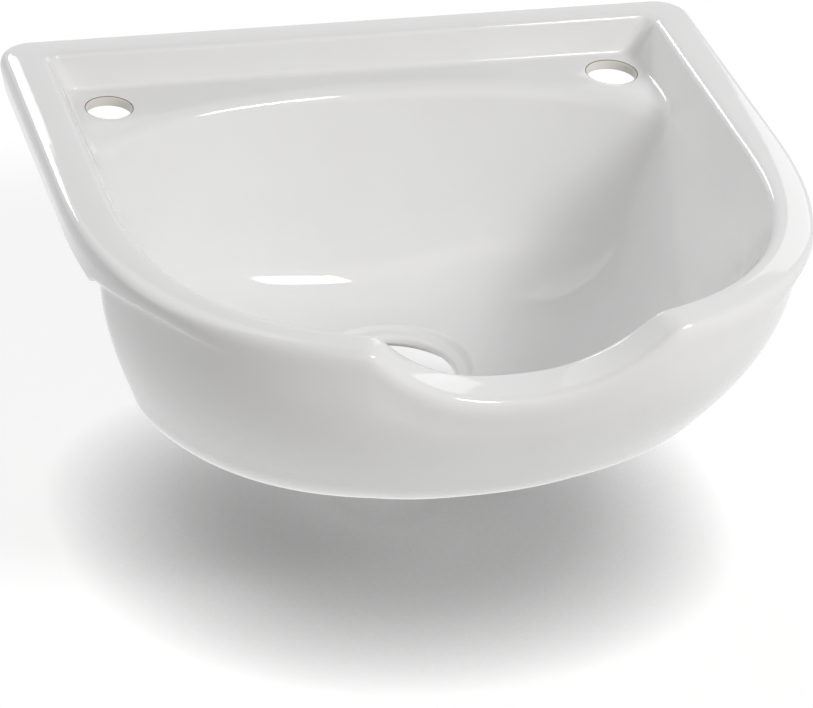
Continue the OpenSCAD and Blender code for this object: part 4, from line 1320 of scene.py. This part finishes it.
class BASIN_OT_pivot_bolts(bpy.types.Operator):
    """Builds the pivot bolts and their lock nuts with nylon inserts"""

    bl_idname = "basin.pivot_bolts"
    bl_label = "Pivot Bolts and Lock Nuts"

    def execute(self, context):
        scene = context.scene
        kit, colours = scene.basin_fasteners, scene.basin_colours
        zinc = bright_zinc(colours)
        # The shank is plain to just past the cheek, and its thread stands out past the nut
        plain = kit.cheek_at - kit.head_at + 0.001
        end = kit.nut_at + kit.nut_height + 0.0025
        rolled = end - kit.head_at - plain
        sizes = (kit.pivot_flats, kit.pivot_head, kit.pivot_radius, plain, rolled, kit.pivot_pitch)
        bolts = grown("tilt_bolts", bolt_tree(), on_pivot(scene, kit.head_at), sizes, zinc)
        fit(bolts, "basin_side", "bolt_steel", "pivot_bolt_left", "pivot_bolt_right")
        bore = kit.pivot_radius + kit.play
        sizes = (kit.pivot_flats, kit.nut_hexagon, bore)
        nuts = grown("lock_nuts", nut_tree(), on_pivot(scene, kit.nut_at), sizes, zinc)
        fit(nuts, "basin_side", "bolt_steel", "lock_nut_left", "lock_nut_right")
        # The collar starts inside the hexagon, and the insert ends a little below its rolled edge
        low = kit.nut_at + kit.nut_hexagon - 0.001
        insert = kit.pivot_radius + 0.0014
        tall = kit.nut_at + kit.nut_height - low
        rings, places = ring_tree(), on_pivot(scene, low)
        sizes = (kit.pivot_flats / 2 - 0.001, insert, tall, 0.0, 0.0007)
        collars = grown("nut_collars", rings, places, sizes, zinc)
        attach(collars, "basin_side")
        sizes = (insert, bore, tall - 0.0006, 0.0, 0.0002)
        inserts = grown("nut_inserts", rings, places, sizes, moulded_nylon(colours))
        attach(inserts, "basin_side")
        return {"FINISHED"}


class BASIN_OT_studio(bpy.types.Operator):
    """Sets the floor, the lamps, the white surroundings and the camera"""

    bl_idname = "basin.studio"
    bl_label = "Studio"

    def execute(self, context):
        scene = context.scene
        data = bpy.data.meshes.new("studio_floor")
        turns = ((-1, -1), (1, -1), (1, 1), (-1, 1))
        corners = [(i * FLOOR_REACH, j * FLOOR_REACH, FLOOR_LEVEL) for i, j in turns]
        data.from_pydata(corners, [], [(0, 1, 2, 3)])
        data.materials.append(studio_floor(scene.basin_colours))
        linked("studio_floor", data)

        for lamp in LAMPS:
            area_lamp(*lamp)
        scene.world = white_surroundings()
        scene.view_settings.view_transform = "Standard"

        lens = bpy.data.cameras.new("camera")
        lens.sensor_width = 36
        lens.lens = FOCAL_PIXELS / PHOTO_WIDTH * lens.sensor_width
        lens.clip_end = 100
        camera = linked("camera", lens)
        turn = Matrix((CAMERA_RIGHT, CAMERA_UP, CAMERA_RIGHT.cross(CAMERA_UP))).transposed().to_4x4()
        camera.matrix_world = Matrix.Translation(CAMERA_PLACE) @ turn
        scene.camera = camera
        return {"FINISHED"}


class BASIN_PT_sidebar(bpy.types.Panel):
    """The basin's sizes, colours and building steps"""

    bl_idname = "BASIN_PT_sidebar"
    bl_label = "Backwash Basin"
    bl_space_type = "VIEW_3D"
    bl_region_type = "UI"
    bl_category = "Basin"

    def draw(self, context):
        layout = self.layout
        for name, group in GROUPS.items():
            box = layout.box()
            box.label(text=name.replace("_", " ").title())
            for key in group.__annotations__:
                box.prop(getattr(context.scene, name), key)
        for operator in OPERATORS:
            layout.operator(operator.bl_idname)


OPERATORS = (
    BASIN_OT_casting,
    BASIN_OT_brackets,
    BASIN_OT_lug_fittings,
    BASIN_OT_carrier_bolts,
    BASIN_OT_pivot,
    BASIN_OT_pivot_bolts,
    BASIN_OT_studio,
)


def register():
    for group in GROUPS.values():
        bpy.utils.register_class(group)
    for name, group in GROUPS.items():
        setattr(bpy.types.Scene, name, bpy.props.PointerProperty(type=group))
    for operator in OPERATORS:
        bpy.utils.register_class(operator)
    bpy.utils.register_class(BASIN_PT_sidebar)


def unregister():
    bpy.utils.unregister_class(BASIN_PT_sidebar)
    for operator in reversed(OPERATORS):
        bpy.utils.unregister_class(operator)
    for name, group in GROUPS.items():
        delattr(bpy.types.Scene, name)
        bpy.utils.unregister_class(group)


def main():
    register()
    bpy.ops.basin.casting()
    bpy.ops.basin.brackets()
    bpy.ops.basin.lug_fittings()
    bpy.ops.basin.carrier_bolts()
    bpy.ops.basin.pivot()
    bpy.ops.basin.pivot_bolts()
    bpy.ops.basin.studio()


if __name__ == "__main__":
    main()
